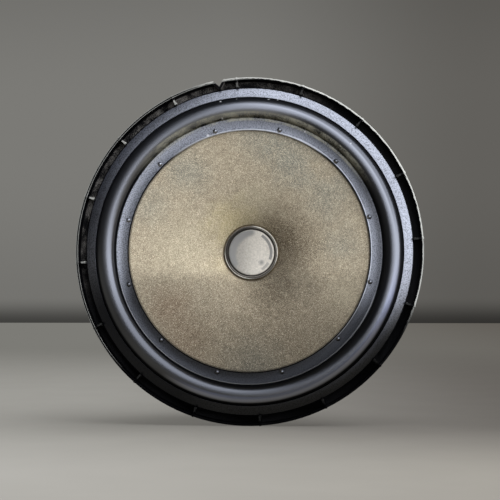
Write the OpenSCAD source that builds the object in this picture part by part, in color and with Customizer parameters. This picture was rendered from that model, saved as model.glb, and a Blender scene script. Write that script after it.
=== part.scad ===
// A door loudspeaker of the 165 mm class: moulded basket, rubber surround, paper cone and
// a 25 mm voice coil in a ferrite motor. It faces -Y with its axis level and +Z up.
// The origin is on the axis, in the plane where the rim seats on the door.
// Inside the modules +z points to the front of the speaker and z = 0 is the seating plane.

/* [Rim] */
// Outside diameter of the rim
rim_d = 166; // [160:0.5:172]
// Thickness of the thin outer wall
rim_wall = 1.0; // [0.8:0.1:1.4]
// Height of the outer wall above the seating plane
rim_h = 9.5; // [8.5:0.5:11]
// Clear width of the channel inside the outer wall
channel_w = 3.4; // [3:0.1:4]
// Thickness of the channel floor
floor_t = 1.5; // [1.2:0.1:2]
// Depth of the groove for the seal behind the channel floor
groove_h = 1.5; // [1:0.1:2]
// Thickness of the foam seal before it is squeezed
seal_t = 2.0; // [1.8:0.1:3]
// Number of ribs across the channel
rib_count = 16; // [8:1:24]
// Thickness of a channel rib
rib_t = 0.8; // [0.6:0.1:1.2]
// Angle of the first channel rib
rib_turn = 3.9; // [0:0.1:20]
// How far a channel rib stands out of the wall, and above it
rib_proud = 0.2; // [0.1:0.05:0.4]
// How far a peg is sunk into the ledge's outer face
peg_sunk = 0.3; // [0.2:0.1:0.5]
// Diameter of the round peg at the inner end of a rib
peg_d = 1.4; // [1:0.1:2]
// Height of a peg above the channel floor
peg_h = 5.6; // [4:0.1:6]
// Angle of the index notch
notch_turn = 100; // [96:1:106]
// Width of the index notch at the outside
notch_w = 5.0; // [4:0.1:6]
// Depth of the index notch
notch_depth = 3.1; // [2.5:0.1:3.2]

/* [Ledge and spigot] */
// Height of the ledge that carries the surround
ledge_h = 6.5; // [6:0.1:7]
// Width of the ledge
ledge_w = 5.6; // [5:0.1:6]
// Wall thickness of the hollow ledge
ledge_skin = 1.5; // [1.2:0.1:1.8]
// Number of webs behind the ledge
web_count = 24; // [12:4:36]
// Thickness of a web behind the ledge
web_t = 1.2; // [0.8:0.1:1.6]
// Step from the ledge's outer face in to the spigot that enters the door cut-out
spigot_step = 7.1; // [6.9:0.1:8]
// Length of the spigot
spigot_h = 6.0; // [5:0.1:8]
// Wall thickness of the spigot
spigot_t = 2.3; // [1.8:0.1:2.8]
// Height of the edge inside the bore above the seating plane
bore_break_z = 0.8; // [0.4:0.1:1.2]
// Widening of the bore from the spigot's mouth to that edge
bore_break_w = 0.4; // [0.2:0.1:0.6]
// Wall left between the ledge's pockets and the bore
pocket_wall = 0.6; // [0.4:0.1:1]
// Distance of the door screws inside the ledge's outer face
door_screw_inset = 3.6; // [3.5:0.1:3.8]
// Number of door screws
door_screws = 4; // [3:1:6]
// Diameter of a door screw's pilot hole
pilot_d = 3.4; // [2.8:0.1:3.8]
// Depth of a pilot hole
pilot_h = 4.4; // [3.5:0.1:5]
// Wall thickness round a pilot hole
boss_wall = 1.8; // [1.4:0.1:2]

/* [Spokes] */
// Number of spokes
spoke_count = 8; // [6:2:10]
// Width of a spoke
spoke_w = 9; // [7:0.5:12]
// Thickness of the ribs along the edges of a spoke
spoke_rib_t = 1.5; // [1.2:0.1:2]
// Depth of those ribs behind the outer end of a spoke
spoke_rib_h = 4; // [2:0.5:6]
// Corner radius of the windows between the spokes
window_round = 2.5; // [1:0.1:3.5]
// Width of the solid rim left outside the windows
window_rim = 3.5; // [3:0.1:5]
// Width of the solid rim left inside the windows
window_foot = 1.5; // [1:0.1:3]

/* [Lower basket] */
// Depth of the spider landing behind the seating plane
landing_depth = 19.6; // [18.5:0.1:22]
// Distance from the spigot in to the inner edge of the spider landing
slope_w = 30; // [28.5:0.1:31.5]
// Level thickness of the sloping wall at its foot
slope_t = 1.8; // [1.4:0.1:2.2]
// Width of the spider landing
landing_w = 6.2; // [5.5:0.1:7.5]
// Wall thickness of the lower basket
cup_wall = 2.0; // [1.6:0.1:2.4]
// Depth of the motor seat behind the seating plane
basket_depth = 30; // [29:0.1:34]
// Thickness of the base ring that carries the motor
base_t = 2.4; // [2:0.1:3]
// Diameter of the hole in the base ring
base_bore_d = 38; // [34:0.5:44]
// Width of the vent slots round the lower basket
slot_w = 12; // [8:0.5:14]
// Height of the vent slots
slot_h = 3; // [2:0.1:3.2]
// Height of the vent slots above the base ring
slot_up = 0.8; // [0.4:0.1:1.2]

/* [Surround] */
// Margin of the ledge left outside the surround
flange_margin = 0.6; // [0.4:0.1:0.8]
// Width of the outer flange of the surround
outer_flange_w = 4.2; // [4:0.1:4.4]
// Thickness of the outer flange
outer_flange_t = 1.6; // [1.2:0.1:2]
// Width of the step between the outer flange and the roll
outer_step_w = 0.5; // [0.4:0.1:0.8]
// Width of the half roll
roll_w = 9.2; // [8.6:0.1:10]
// Height of the half roll
roll_h = 4.6; // [4:0.1:5.5]
// Thickness of the rubber
rubber_t = 0.7; // [0.5:0.1:1]
// Width of the groove between the roll and the inner flange
inner_step_w = 0.5; // [0.3:0.1:0.8]
// Width of the inner flange
inner_flange_w = 5.8; // [5:0.1:6.4]
// Thickness of the inner flange
inner_flange_t = 1.5; // [1.2:0.1:2]
// Number of nubs on the inner flange
nub_count = 12; // [8:1:18]
// Diameter of a nub
nub_d = 1.8; // [1.4:0.1:2.2]
// Angle of the first nub
nub_turn = 15.5; // [0:0.1:30]
// Distance of the nubs inside the middle of the inner flange
nub_inset = 1.1; // [0:0.1:1.4]

/* [Cone and cap] */
// Depth of the cone from its flange to its neck
cone_depth = 20.2; // [19:0.1:22]
// Share of the cone's depth that falls in a straight line
cone_straight = 0.55; // [0.4:0.05:0.8]
// Thickness of the paper
paper_t = 0.8; // [0.5:0.1:1.2]
// Margin of the inner flange left outside the cone
cone_margin = 0.2; // [0.1:0.1:0.4]
// How far the coil former stands out of the cone's neck
former_proud = 2.4; // [1.8:0.1:3]
// Thickness of the cap's metal
cap_t = 0.35; // [0.3:0.05:0.5]
// Width of the rolled bead round the cap
cap_bead_w = 0.6; // [0.5:0.1:0.8]
// Width of the groove between the bead and the cap's disc
cap_groove_w = 0.6; // [0.4:0.1:0.9]
// Depth of that groove below the disc's edge
cap_groove_h = 0.8; // [0.6:0.1:1]
// Rounding of the disc's edge
cap_round = 0.5; // [0.3:0.1:0.6]
// Depth of the cap's disc below the former's edge
cap_drop = 1.0; // [0.8:0.1:1.4]
// Depth of the shallow dish in the cap's disc
cap_dish = 0.5; // [0.2:0.1:0.8]
// Depth to which the cap's skirt enters the former
cap_skirt_h = 3; // [2.8:0.1:4]
// Width of the glue bead round the neck
glue_w = 0.7; // [0.5:0.1:1.2]
// Height of the glue bead on the former
glue_h = 0.6; // [0.5:0.1:1]
// How much higher the glue creeps up the former than it stands beside it
glue_creep = 0.3; // [0.2:0.1:0.6]

/* [Voice coil] */
// Inside diameter of the coil former
coil_d = 25.5; // [25:0.1:26]
// Wall thickness of the former
former_t = 0.25; // [0.15:0.05:0.3]
// Thickness of the paper collar round the former
collar_t = 0.18; // [0.12:0.02:0.24]
// Length of the paper collar
collar_h = 8; // [7:0.1:9]
// How far the collar stands in front of the cone's neck
collar_proud = 0.4; // [0.2:0.1:0.6]
// Thickness of the winding
winding_t = 0.52; // [0.4:0.02:0.6]
// Length of the winding
winding_h = 14; // [12:0.5:14.5]
// Bare length of the former behind the winding
former_tail = 1; // [0.5:0.1:2]
// Diameter of the air holes in the former
air_hole_d = 2.4; // [1.5:0.1:2.6]
// Number of air holes
air_hole_count = 6; // [4:1:8]
// Width of the flattened wire ends that run up the former
tail_w = 0.5; // [0.3:0.1:0.7]
// Diameter of the round wire between the former and the solder joints
tail_d = 0.4; // [0.3:0.05:0.5]
// Distance of that wire behind the cone
tail_gap = 0.6; // [0.4:0.1:1]

/* [Spider] */
// Number of waves in the spider
wave_count = 5; // [4:1:6]
// Height of a wave above and below its middle
wave_h = 1.4; // [1:0.1:1.8]
// Thickness of the treated cloth
cloth_t = 0.5; // [0.4:0.1:0.7]
// Height of the turned-up neck of the spider
spider_neck_h = 2.2; // [1.5:0.1:2.5]
// Margin of the landing left outside the spider
spider_margin = 0.7; // [0.5:0.1:1.5]
// Distance from the landing's edge in to the first wave
spider_lead_in = 0.5; // [0.4:0.1:1]
// Flat cloth between the last wave and the neck
spider_lead_out = 1; // [0.8:0.1:1.5]

/* [Motor] */
// Diameter of the top plate
plate_d = 66; // [64:0.5:72]
// Thickness of the top plate
plate_t = 5; // [4:0.1:6]
// Diameter of the magnet
magnet_d = 72; // [68:0.5:80]
// Thickness of the magnet
magnet_t = 15; // [14:0.5:20]
// Diameter of the magnet's hole
magnet_bore_d = 33; // [31:0.5:38]
// Diameter of the yoke's back plate
yoke_d = 67; // [62:0.5:72]
// Thickness of the yoke's back plate
yoke_t = 5; // [4:0.1:7]
// Air gap between the winding and the top plate
gap_out = 0.4; // [0.3:0.05:0.6]
// Air gap between the pole and the former
gap_in = 0.4; // [0.3:0.05:0.6]
// How far the pole stands out in front of the top plate
pole_proud = 0.5; // [0:0.1:1]
// Distance of the motor screws inside the plate's edge
motor_screw_inset = 4; // [3.5:0.1:5]
// Number of motor screws
motor_screws = 4; // [3:1:6]
// Diameter of a motor screw
motor_screw_d = 4; // [3:0.1:5]
// Diameter of a motor screw's head
motor_head_d = 7; // [6:0.1:8]
// Height of a motor screw's head
motor_head_h = 2; // [1.6:0.1:2.4]
// How far a motor screw ends short of the plate's back
motor_screw_short = 0.5; // [0.2:0.1:1]

/* [Terminals] */
// Depth of the terminal pad's front face behind the seating plane
pad_depth = 12; // [11.5:0.1:13]
// Thickness of the terminal pad
pad_t = 2; // [1.6:0.1:2.4]
// Distance of the plug's middle inside the spigot
plug_inset = 15.5; // [15.1:0.1:15.7]
// How far the pad runs in under the sloping wall's foot
pad_lap = 0.5; // [0.3:0.1:0.8]
// Room between the shroud and the pocket's outer end
pocket_margin = 1.3; // [1:0.1:1.6]
// Width of the plug shroud across the spoke
shroud_w = 18.8; // [18:0.1:20]
// Thickness of the plug shroud along the spoke
shroud_l = 9.4; // [9:0.1:10]
// Depth of the plug shroud
shroud_h = 13.5; // [12:0.1:16]
// Wall thickness of the shroud
shroud_wall = 1.2; // [1:0.1:1.3]
// Width of the latch window in the shroud's outer wall
latch_w = 4; // [3:0.1:5]
// Height of the latch window
latch_h = 3; // [2:0.1:4]
// Distance of the latch window and of the blades' tips inside the shroud's mouth
mouth_h = 2.5; // [2:0.1:3.5]
// Step from the shroud in to the connector's neck, across the spoke
neck_step_w = 2; // [1.6:0.1:2.4]
// Step from the shroud in to the connector's neck, along the spoke
neck_step_l = 1.3; // [1:0.1:1.6]
// Step from the shroud out to the flange's edge, along the spoke
flange_step_l = 0.3; // [0.2:0.1:0.5]
// Thickness of the connector's flange
plug_flange_t = 1.5; // [1.2:0.1:2]
// Distance between the two blades
blade_pitch = 10; // [9.6:0.1:10.4]
// Width of the positive blade
positive_w = 4.8; // [4:0.1:5]
// Width of the negative blade
negative_w = 2.8; // [2.4:0.1:3.2]
// Thickness of the blades
blade_t = 0.8; // [0.5:0.1:1]
// How far the solder tabs stand in front of the pad
tab_h = 3; // [2.5:0.1:3.5]
// Distance of the eye in a solder tab behind the tab's end
eye_depth = 2.2; // [1.8:0.1:2.4]
// Diameter of the eye in a solder tab
eye_d = 1.2; // [0.8:0.1:1.4]
// Length of the taper at a blade's tip
tip_h = 1.2; // [0.8:0.1:1.6]
// Diameter of the connector's rivets
rivet_d = 2.2; // [1.8:0.1:2.6]
// Diameter of a rivet's head
rivet_head_d = 3.8; // [3.4:0.1:4]
// Height of a rivet's head
rivet_head_h = 0.8; // [0.6:0.1:1]
// Clearance between the shroud's side and a rivet's head
rivet_clear = 0.1; // [0.1:0.05:0.4]
// Room beside a rivet's head in the pocket behind the pad
pocket_room = 0.2; // [0.2:0.1:1]
// Radius at which the leads are soldered behind the cone
joint_r = 22; // [21.5:0.1:22.5]
// Angle of each solder joint from the terminal spoke
joint_turn = 17; // [15:0.5:19]
// Diameter of a solder joint with its glue
joint_d = 3.2; // [2.6:0.1:3.4]
// Height of a solder joint behind the cone
joint_h = 2.2; // [1.8:0.1:2.6]
// Diameter of a braided lead
lead_d = 1.4; // [1:0.1:1.6]

/* [Hidden] */
// Clearance between pieces that are glued or pressed together round the axis
glue_gap = 0.04;
// Clearance of a piece that lies in a moulded seat
seat_gap = 0.3;
// Clearance between a shank or blade and its hole
hole_gap = 0.08;
// Gap between a lead's end and the piece that it is soldered to
solder_gap = 0.1;
// Distance that a cutting shape runs past the face that it opens
past = 1;
// Chamfer on the magnet and the motor's plates
magnet_chamfer = 1;
plate_chamfer = 0.5;
// Angle of the terminal spoke, at the bottom
terminal_turn = 270;
// How much faster than a straight line the cone falls near its neck
neck_power = 5;
round_fn = 160;
small_fn = 32;
$fn = round_fn;

rim_r = rim_d / 2;
wall_r = rim_r - rim_wall;
ledge_out_r = wall_r - channel_w;
ledge_in_r = ledge_out_r - ledge_w;
floor_z = groove_h + floor_t;
spigot_r = ledge_out_r - spigot_step;
spigot_in_r = spigot_r - spigot_t;
bore_break_r = spigot_in_r + bore_break_w;
door_circle_r = ledge_out_r - door_screw_inset;
peg_r = ledge_out_r + peg_d / 2 - peg_sunk;

notch_tip_r = rim_r - notch_depth;
notch_half_angle = atan(notch_w / 2 / notch_depth);

landing_r = spigot_r - slope_w;
landing_z = -landing_depth;
landing_out_r = landing_r + landing_w;
landing_t = base_t;
cup_r = landing_r + cup_wall;
base_z = -basket_depth;
base_front_z = base_z + base_t;
// The sloping wall's back meets the landing's back here
slope_foot_r = landing_out_r + slope_t;
slope_foot_z = landing_z - landing_t;
window_in_r = slope_foot_r + window_foot;
window_out_r = spigot_r - window_rim;

seat_z = ledge_h;
flange_out_r = ledge_out_r - flange_margin;
flange_in_r = flange_out_r - outer_flange_w;
roll_out_r = flange_in_r - outer_step_w;
roll_mid_r = roll_out_r - roll_w / 2;
roll_in_r = roll_out_r - roll_w;
lip_out_r = roll_in_r - inner_step_w;
lip_in_r = lip_out_r - inner_flange_w;
nub_r = (lip_in_r + lip_out_r) / 2 - nub_inset;

former_in_r = coil_d / 2;
former_out_r = former_in_r + former_t;
collar_in_r = former_out_r + glue_gap;
collar_out_r = collar_in_r + collar_t;
neck_r = collar_out_r + glue_gap;
neck_z = seat_z - cone_depth;
cone_rim_r = lip_out_r - cone_margin;
former_front_z = neck_z + former_proud;

plate_front_z = base_z;
plate_back_z = plate_front_z - plate_t;
magnet_back_z = plate_back_z - magnet_t;
yoke_back_z = magnet_back_z - yoke_t;
winding_mid_z = (plate_front_z + plate_back_z) / 2;
winding_front_z = winding_mid_z + winding_h / 2;
winding_back_z = winding_mid_z - winding_h / 2;
winding_out_r = collar_in_r + winding_t;
former_back_z = winding_back_z - former_tail;
pole_front_z = plate_front_z + pole_proud;
pole_r = former_in_r - gap_in;
motor_circle_r = plate_d / 2 - motor_screw_inset;
collar_front_z = neck_z + collar_proud;
collar_back_z = collar_front_z - collar_h;

spider_out_r = landing_out_r - spider_margin;
spider_bend_r = landing_r - spider_lead_in;
spider_mid_z = landing_z + cloth_t / 2;
spider_neck_r = neck_r + cloth_t;

pad_front_z = -pad_depth;
pad_back_z = pad_front_z - pad_t;
plug_r = spigot_r - plug_inset;
pad_in_r = slope_foot_r - pad_lap;
pad_out_r = plug_r + shroud_l / 2 + pocket_margin;
rivet_pitch = shroud_w + rivet_head_d + 2 * rivet_clear;
pocket_half = (rivet_pitch + rivet_head_d) / 2 + pocket_room;
terminal_spoke_w = 2 * (pocket_half + spoke_rib_t);
plug_flange_l = shroud_l + 2 * flange_step_l;
plug_flange_w = 2 * (pocket_half - seat_gap);
plug_neck_w = shroud_w - 2 * neck_step_w;
plug_neck_l = shroud_l - 2 * neck_step_l;
shroud_front_z = pad_back_z - plug_flange_t;
shroud_back_z = shroud_front_z - shroud_h;
tab_front_z = pad_front_z + tab_h;
blade_back_z = shroud_back_z + mouth_h;

tail_front_z = cone_back(neck_r) - tail_gap;
joint_front_z = cone_back(joint_r + joint_d / 2);
joint_back_z = cone_back(joint_r) - joint_h;
tail_end_r = joint_r - joint_d / 2 - solder_gap;
tail_end_z = cone_back(tail_end_r) - tail_gap;

// Route of the positive lead, from its tab to its solder joint. The negative one mirrors it.
// Each point holds the distance out from the tab's middle, the share of the way in, and the
// height above the pad.
lead_points = [
    [0, 0, 2.2], [0, 0.05, 2.2], [0.6, 0.2, 3.6], [1.8, 0.41, 2.8], [2.6, 0.63, 0],
    [2.5, 0.8, -0.4], [1.8, 0.9, 2.6], [1.4, 0.955, 3.8], [1.4, 1, 3.8]
];
lead_start_r = plug_r - blade_t / 2 - solder_gap;
lead_end_r = joint_r * cos(joint_turn) + joint_d / 2 + solder_gap;
lead_route = [for (p = lead_points) [
    -blade_pitch / 2 - p[0], -lead_start_r + (lead_start_r - lead_end_r) * p[1],
    pad_front_z + p[2]
]];
lead_rings_per_span = 2;
lead_sides = 8;

// Turns a piece from its own axes to the speaker's place, facing -Y
module facing() {
    rotate([90, 0, 0]) children();
}

// Repeats a piece round the axis
module around(count, turn = 0) {
    for (i = [0 : count - 1]) rotate(turn + i * 360 / count) children();
}

// A flat ring between two radii
module ring_2d(inner, outer) {
    difference() {
        circle(outer);
        circle(inner);
    }
}

// A straight band from the axis outward along x, which makes a rib when it is cut by a ring
module band_2d(width, length = rim_r + past) {
    translate([0, -width / 2]) square([length, width]);
}

// A straight tube piece between two radii and two heights
module ring(inner, outer, back, front) {
    translate([0, 0, back]) linear_extrude(front - back) ring_2d(inner, outer);
}

// Height of the cone's front at a radius, with a straight fall and a steeper one at the neck
function cone_share(r) = (lip_in_r - r) / (lip_in_r - neck_r);
function cone_front(r) = seat_z - cone_depth * (cone_straight * cone_share(r)
    + (1 - cone_straight) * pow(cone_share(r), neck_power));
function cone_slope(r) = cone_depth / (lip_in_r - neck_r) * (cone_straight
    + (1 - cone_straight) * neck_power * pow(cone_share(r), neck_power - 1));
// Height of the cone's back at a radius
function cone_back(r) = cone_front(r) - paper_t * sqrt(1 + pow(cone_slope(r), 2));
// Radii at which the cone's curve is drawn, from the neck outward
cone_steps = 24;
cone_radii = [for (i = [0 : cone_steps]) neck_r + (lip_in_r - neck_r) * pow(i / cone_steps, 1.3)];

// Radius of the sloping wall's middle at a height, between the spigot and the landing
function slope_mid_r(z) = (spigot_in_r + spigot_r) / 2 + (z + spigot_h)
    * ((spigot_in_r + spigot_r) / 2 - (landing_out_r + slope_foot_r) / 2)
    / ((landing_z + slope_foot_z) / -2 - spigot_h);

// The basket's section as one turned outline, from the rim to the base ring
module basket_section() {
    polygon([
        [rim_r, 0], [rim_r, rim_h], [wall_r, rim_h], [wall_r, floor_z], [ledge_out_r, floor_z],
        [ledge_out_r, ledge_h], [ledge_in_r, ledge_h], [bore_break_r, bore_break_z],
        [spigot_in_r, -spigot_h], [landing_out_r, landing_z], [landing_r, landing_z],
        [landing_r, base_front_z], [base_bore_d / 2, base_front_z], [base_bore_d / 2, base_z],
        [cup_r, base_z], [cup_r, slope_foot_z], [slope_foot_r, slope_foot_z],
        [spigot_r, -spigot_h], [spigot_r, 0], [ledge_out_r, 0], [ledge_out_r, groove_h],
        [wall_r, groove_h], [wall_r, 0]
    ]);
}

// Half the width of a spoke
function spoke_half(index) = index == 0 ? terminal_spoke_w / 2 : spoke_w / 2;

// All spokes as flat bands, each widened on both sides
module spokes_2d(widen = 0) {
    for (i = [0 : spoke_count - 1])
        rotate(terminal_turn + i * 360 / spoke_count) band_2d(2 * (spoke_half(i) + widen));
}

// Corner circles of the windows on one radius, which lies a corner's radius inside the edge
module window_corners_2d(radius) {
    for (i = [0 : spoke_count - 1], side = [-1, 1])
        rotate(terminal_turn + i * 360 / spoke_count)
            let (across = spoke_half(i) + window_round)
                translate([sqrt(pow(radius, 2) - pow(across, 2)), side * across])
                    circle(window_round, $fn = small_fn);
}

// The windows between the spokes, with round corners
module windows_2d() {
    difference() {
        ring_2d(window_in_r + window_round, window_out_r - window_round);
        spokes_2d();
    }
    difference() {
        ring_2d(window_in_r, window_out_r);
        spokes_2d(window_round);
    }
    window_corners_2d(window_in_r + window_round);
    window_corners_2d(window_out_r - window_round);
}

// Two ribs along the edges of every spoke, reaching from the spigot to the lower basket
module spoke_ribs() {
    mid_out_r = (spigot_in_r + spigot_r) / 2;
    mid_in_r = (landing_out_r + slope_foot_r) / 2;
    mid_in_z = (landing_z + slope_foot_z) / 2;
    intersection() {
        rotate_extrude() polygon([
            [mid_out_r, -spigot_h], [mid_out_r, -spigot_h - spoke_rib_h],
            [slope_foot_r, base_front_z], [landing_r + cup_wall / 2, base_front_z],
            [landing_r + cup_wall / 2, mid_in_z], [mid_in_r, mid_in_z]
        ]);
        for (i = [0 : spoke_count - 1], side = [-1, 1])
            rotate(terminal_turn + i * 360 / spoke_count)
                translate([landing_r / 2, side * (spoke_half(i) - spoke_rib_t / 2), base_z])
                    translate([0, -spoke_rib_t / 2, 0])
                        cube([spigot_r, spoke_rib_t, basket_depth]);
    }
}

// Thin ribs across the rim's channel, each with a round-topped peg at its inner end
module channel_ribs() {
    translate([0, 0, groove_h]) linear_extrude(rim_h + rib_proud - groove_h) intersection() {
        ring_2d(ledge_out_r - rib_proud, rim_r + rib_proud);
        around(rib_count, rib_turn) band_2d(rib_t);
    }
    around(rib_count, rib_turn) translate([peg_r, 0, groove_h + floor_t / 2]) {
        cylinder(d = peg_d, h = peg_h + floor_t / 2, $fn = small_fn);
        translate([0, 0, peg_h + floor_t / 2]) sphere(d = peg_d, $fn = small_fn);
    }
}

// A wedge that points at the axis from outside the rim, grown by a wall's thickness
module notch_wedge_2d(grow = 0, outside = rim_r) {
    tip = notch_tip_r - grow / sin(notch_half_angle);
    half = (outside - tip) * tan(notch_half_angle);
    rotate(notch_turn) polygon([[tip, 0], [outside, -half], [outside, half]]);
}

// The walls of the index notch, joined to the rim and the ledge
module notch_walls() {
    linear_extrude(rim_h) intersection() {
        notch_wedge_2d(rim_wall, rim_r + past);
        ring_2d(ledge_out_r - ledge_skin / 2, rim_r);
    }
}

// Pockets that make the ledge hollow from behind, between its webs and screw bosses
module ledge_pockets() {
    translate([0, 0, -past]) linear_extrude(ledge_h - ledge_skin + past) difference() {
        ring_2d(ledge_in_r + pocket_wall, ledge_out_r - ledge_skin);
        around(web_count, 180 / web_count) band_2d(web_t);
        around(door_screws, 45) translate([door_circle_r, 0])
            circle(d = pilot_d + 2 * boss_wall, $fn = small_fn);
    }
}

// A flat pad on the wide spoke, with cheeks down to the sloping wall
module terminal_pad() {
    cheek_out_r = slope_mid_r(pad_front_z);
    rotate(terminal_turn) {
        translate([pad_in_r - spoke_rib_t, -terminal_spoke_w / 2, pad_back_z])
            cube([cheek_out_r - pad_in_r + spoke_rib_t, terminal_spoke_w, pad_t]);
        translate([pad_in_r - spoke_rib_t, -terminal_spoke_w / 2, landing_z - landing_t / 2])
            cube([spoke_rib_t, terminal_spoke_w, pad_front_z - landing_z + landing_t / 2]);
        for (side = [-1, 1])
            translate([0, side * (terminal_spoke_w / 2 - spoke_rib_t / 2) + spoke_rib_t / 2, 0])
                rotate([90, 0, 0]) linear_extrude(spoke_rib_t) polygon([
                    [pad_in_r - spoke_rib_t, pad_front_z], [cheek_out_r, pad_front_z],
                    [pad_in_r, landing_z - landing_t / 2],
                    [pad_in_r - spoke_rib_t, landing_z - landing_t / 2]
                ]);
    }
}

// Room behind the pad, and the holes for the connector and its rivets
module terminal_cuts() {
    rotate(terminal_turn) {
        translate([pad_in_r, -pocket_half, base_z])
            cube([pad_out_r - pad_in_r, 2 * pocket_half, pad_back_z - base_z]);
        translate([plug_r - plug_neck_l / 2 - hole_gap, -plug_neck_w / 2 - hole_gap, base_z])
            cube([plug_neck_l + 2 * hole_gap, plug_neck_w + 2 * hole_gap, basket_depth]);
        for (side = [-1, 1]) translate([plug_r, side * rivet_pitch / 2, base_z])
            cylinder(d = rivet_d + 2 * hole_gap, h = basket_depth, $fn = small_fn);
    }
}

// Moulded frame of the speaker
module basket() {
    color("#17181a") facing() difference() {
        union() {
            rotate_extrude() basket_section();
            channel_ribs();
            notch_walls();
            spoke_ribs();
            terminal_pad();
        }
        ledge_pockets();
        translate([0, 0, -past]) linear_extrude(rim_h + 2 * past)
            notch_wedge_2d(0, rim_r + past);
        around(door_screws, 45) translate([door_circle_r, 0, -past])
            cylinder(d = pilot_d, h = pilot_h + past, $fn = small_fn);
        translate([0, 0, base_z]) linear_extrude(basket_depth) difference() {
            windows_2d();
            rotate(terminal_turn) band_2d(terminal_spoke_w);
        }
        around(spoke_count, terminal_turn + 180 / spoke_count)
            translate([landing_r / 2, -slot_w / 2, base_front_z + slot_up])
                cube([landing_r, slot_w, slot_h]);
        around(motor_screws, 45) translate([motor_circle_r, 0, base_z - past])
            cylinder(d = motor_screw_d + 2 * hole_gap, h = base_t + 2 * past, $fn = small_fn);
        terminal_cuts();
    }
}

// Foam strip in the groove behind the rim, with its ends at the index notch
module mounting_seal() {
    color("#26262a") facing() translate([0, 0, groove_h - seal_t]) linear_extrude(seal_t)
        difference() {
            ring_2d(ledge_out_r + seat_gap, wall_r - seat_gap);
            notch_wedge_2d(rim_wall + seat_gap, rim_r + past);
        }
}

// Half an ellipse as points, from the outer foot over the crest to the inner foot
function arch(radius, width, height, foot, steps, from, to) = [for (i = [0 : steps])
    let (a = from + (to - from) * i / steps)
        [radius + width * cos(a), foot + height * sin(a)]];

// Rubber edge in one moulding: outer flange, half roll and inner flange with its nubs
module surround() {
    web_z = seat_z + rubber_t;
    color("#1b1c1f") facing() {
        rotate_extrude() polygon(concat(
            [[flange_out_r, seat_z], [flange_out_r, seat_z + outer_flange_t],
             [flange_in_r, seat_z + outer_flange_t], [flange_in_r, web_z]],
            arch(roll_mid_r, roll_w / 2, roll_h, web_z, 24, 0, 180),
            [[lip_out_r, web_z], [lip_out_r, seat_z + inner_flange_t],
             [lip_in_r, seat_z + inner_flange_t], [lip_in_r, seat_z]],
            arch(roll_mid_r, roll_w / 2 - rubber_t, roll_h, seat_z, 24, 180, 0)
        ));
        around(nub_count, nub_turn) translate([nub_r, 0, seat_z + inner_flange_t])
            sphere(d = nub_d, $fn = small_fn);
    }
}

// Height of the spider's middle at a share of the way from its bend to its neck
function wave(share) = wave_h * sin(360 * wave_count * share);

// Corrugated cloth that centres the coil, glued to the landing and to the collar
module spider() {
    wave_in_r = spider_neck_r + spider_lead_out;
    steps = 12 * wave_count;
    slope = 360 * wave_count * wave_h / (spider_bend_r - wave_in_r) * PI / 180;
    path = [for (i = [0 : steps]) let (s = i / steps)
        [spider_bend_r + (wave_in_r - spider_bend_r) * s, spider_mid_z + wave(s),
         cloth_t / 2 * sqrt(1 + pow(slope * cos(360 * wave_count * s), 2))]];
    color("#c9a24f") facing() rotate_extrude() polygon(concat(
        [[landing_r, landing_z], [spider_out_r, landing_z], [spider_out_r, landing_z + cloth_t],
         [landing_r, landing_z + cloth_t]],
        [for (p = path) [p[0], p[1] + p[2]]],
        [[spider_neck_r, spider_mid_z + spider_neck_h], [neck_r, spider_mid_z + spider_neck_h],
         [neck_r, spider_mid_z - cloth_t / 2]],
        [for (i = [steps : -1 : 0]) [path[i][0], path[i][1] - path[i][2]]]
    ));
}

// Two-pole plug shroud, with a flange under the pad and a neck up through it
module connector_housing() {
    slot = blade_t + 2 * hole_gap;
    color("#1f2124") facing() rotate(terminal_turn) translate([plug_r, 0, 0]) difference() {
        union() {
            translate([-plug_flange_l / 2, -plug_flange_w / 2, shroud_front_z])
                cube([plug_flange_l, plug_flange_w, plug_flange_t]);
            translate([-plug_neck_l / 2, -plug_neck_w / 2, shroud_front_z])
                cube([plug_neck_l, plug_neck_w, plug_flange_t + pad_t]);
            translate([-shroud_l / 2, -shroud_w / 2, shroud_back_z])
                cube([shroud_l, shroud_w, shroud_h + plug_flange_t / 2]);
        }
        translate([-shroud_l / 2 + shroud_wall, -shroud_w / 2 + shroud_wall, shroud_back_z - past])
            cube([shroud_l - 2 * shroud_wall, shroud_w - 2 * shroud_wall, shroud_h + past]);
        translate([0, -latch_w / 2, shroud_back_z + mouth_h])
            cube([shroud_l, latch_w, latch_h]);
        blade_place(-1) translate([-slot / 2, -positive_w / 2 - hole_gap, shroud_back_z])
            cube([slot, positive_w + 2 * hole_gap, basket_depth]);
        blade_place(1) translate([-slot / 2, -negative_w / 2 - hole_gap, shroud_back_z])
            cube([slot, negative_w + 2 * hole_gap, basket_depth]);
        for (side = [-1, 1]) translate([0, side * rivet_pitch / 2, shroud_front_z - past])
            cylinder(d = rivet_d + 2 * hole_gap, h = plug_flange_t + 2 * past, $fn = small_fn);
    }
}

// Places a blade to one side of the plug's middle
module blade_place(side) {
    translate([0, side * blade_pitch / 2, 0]) children();
}

// A blade with a tapered tip inside the shroud and a solder tab with an eye in front
module blade(width, side) {
    facing() rotate(terminal_turn) translate([plug_r + blade_t / 2, 0, 0]) blade_place(side)
        rotate([0, -90, 0]) linear_extrude(blade_t) difference() {
            polygon([
                [tab_front_z, width / 2], [tab_front_z, -width / 2],
                [blade_back_z + tip_h, -width / 2], [blade_back_z, -width / 2 + tip_h / 2],
                [blade_back_z, width / 2 - tip_h / 2], [blade_back_z + tip_h, width / 2]
            ]);
            translate([tab_front_z - eye_depth, 0]) circle(d = eye_d, $fn = small_fn);
        }
}

// Wide blade
module terminal_positive() {
    color("#c8b98a") blade(positive_w, -1);
}

// Narrow blade
module terminal_negative() {
    color("#c8b98a") blade(negative_w, 1);
}

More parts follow.
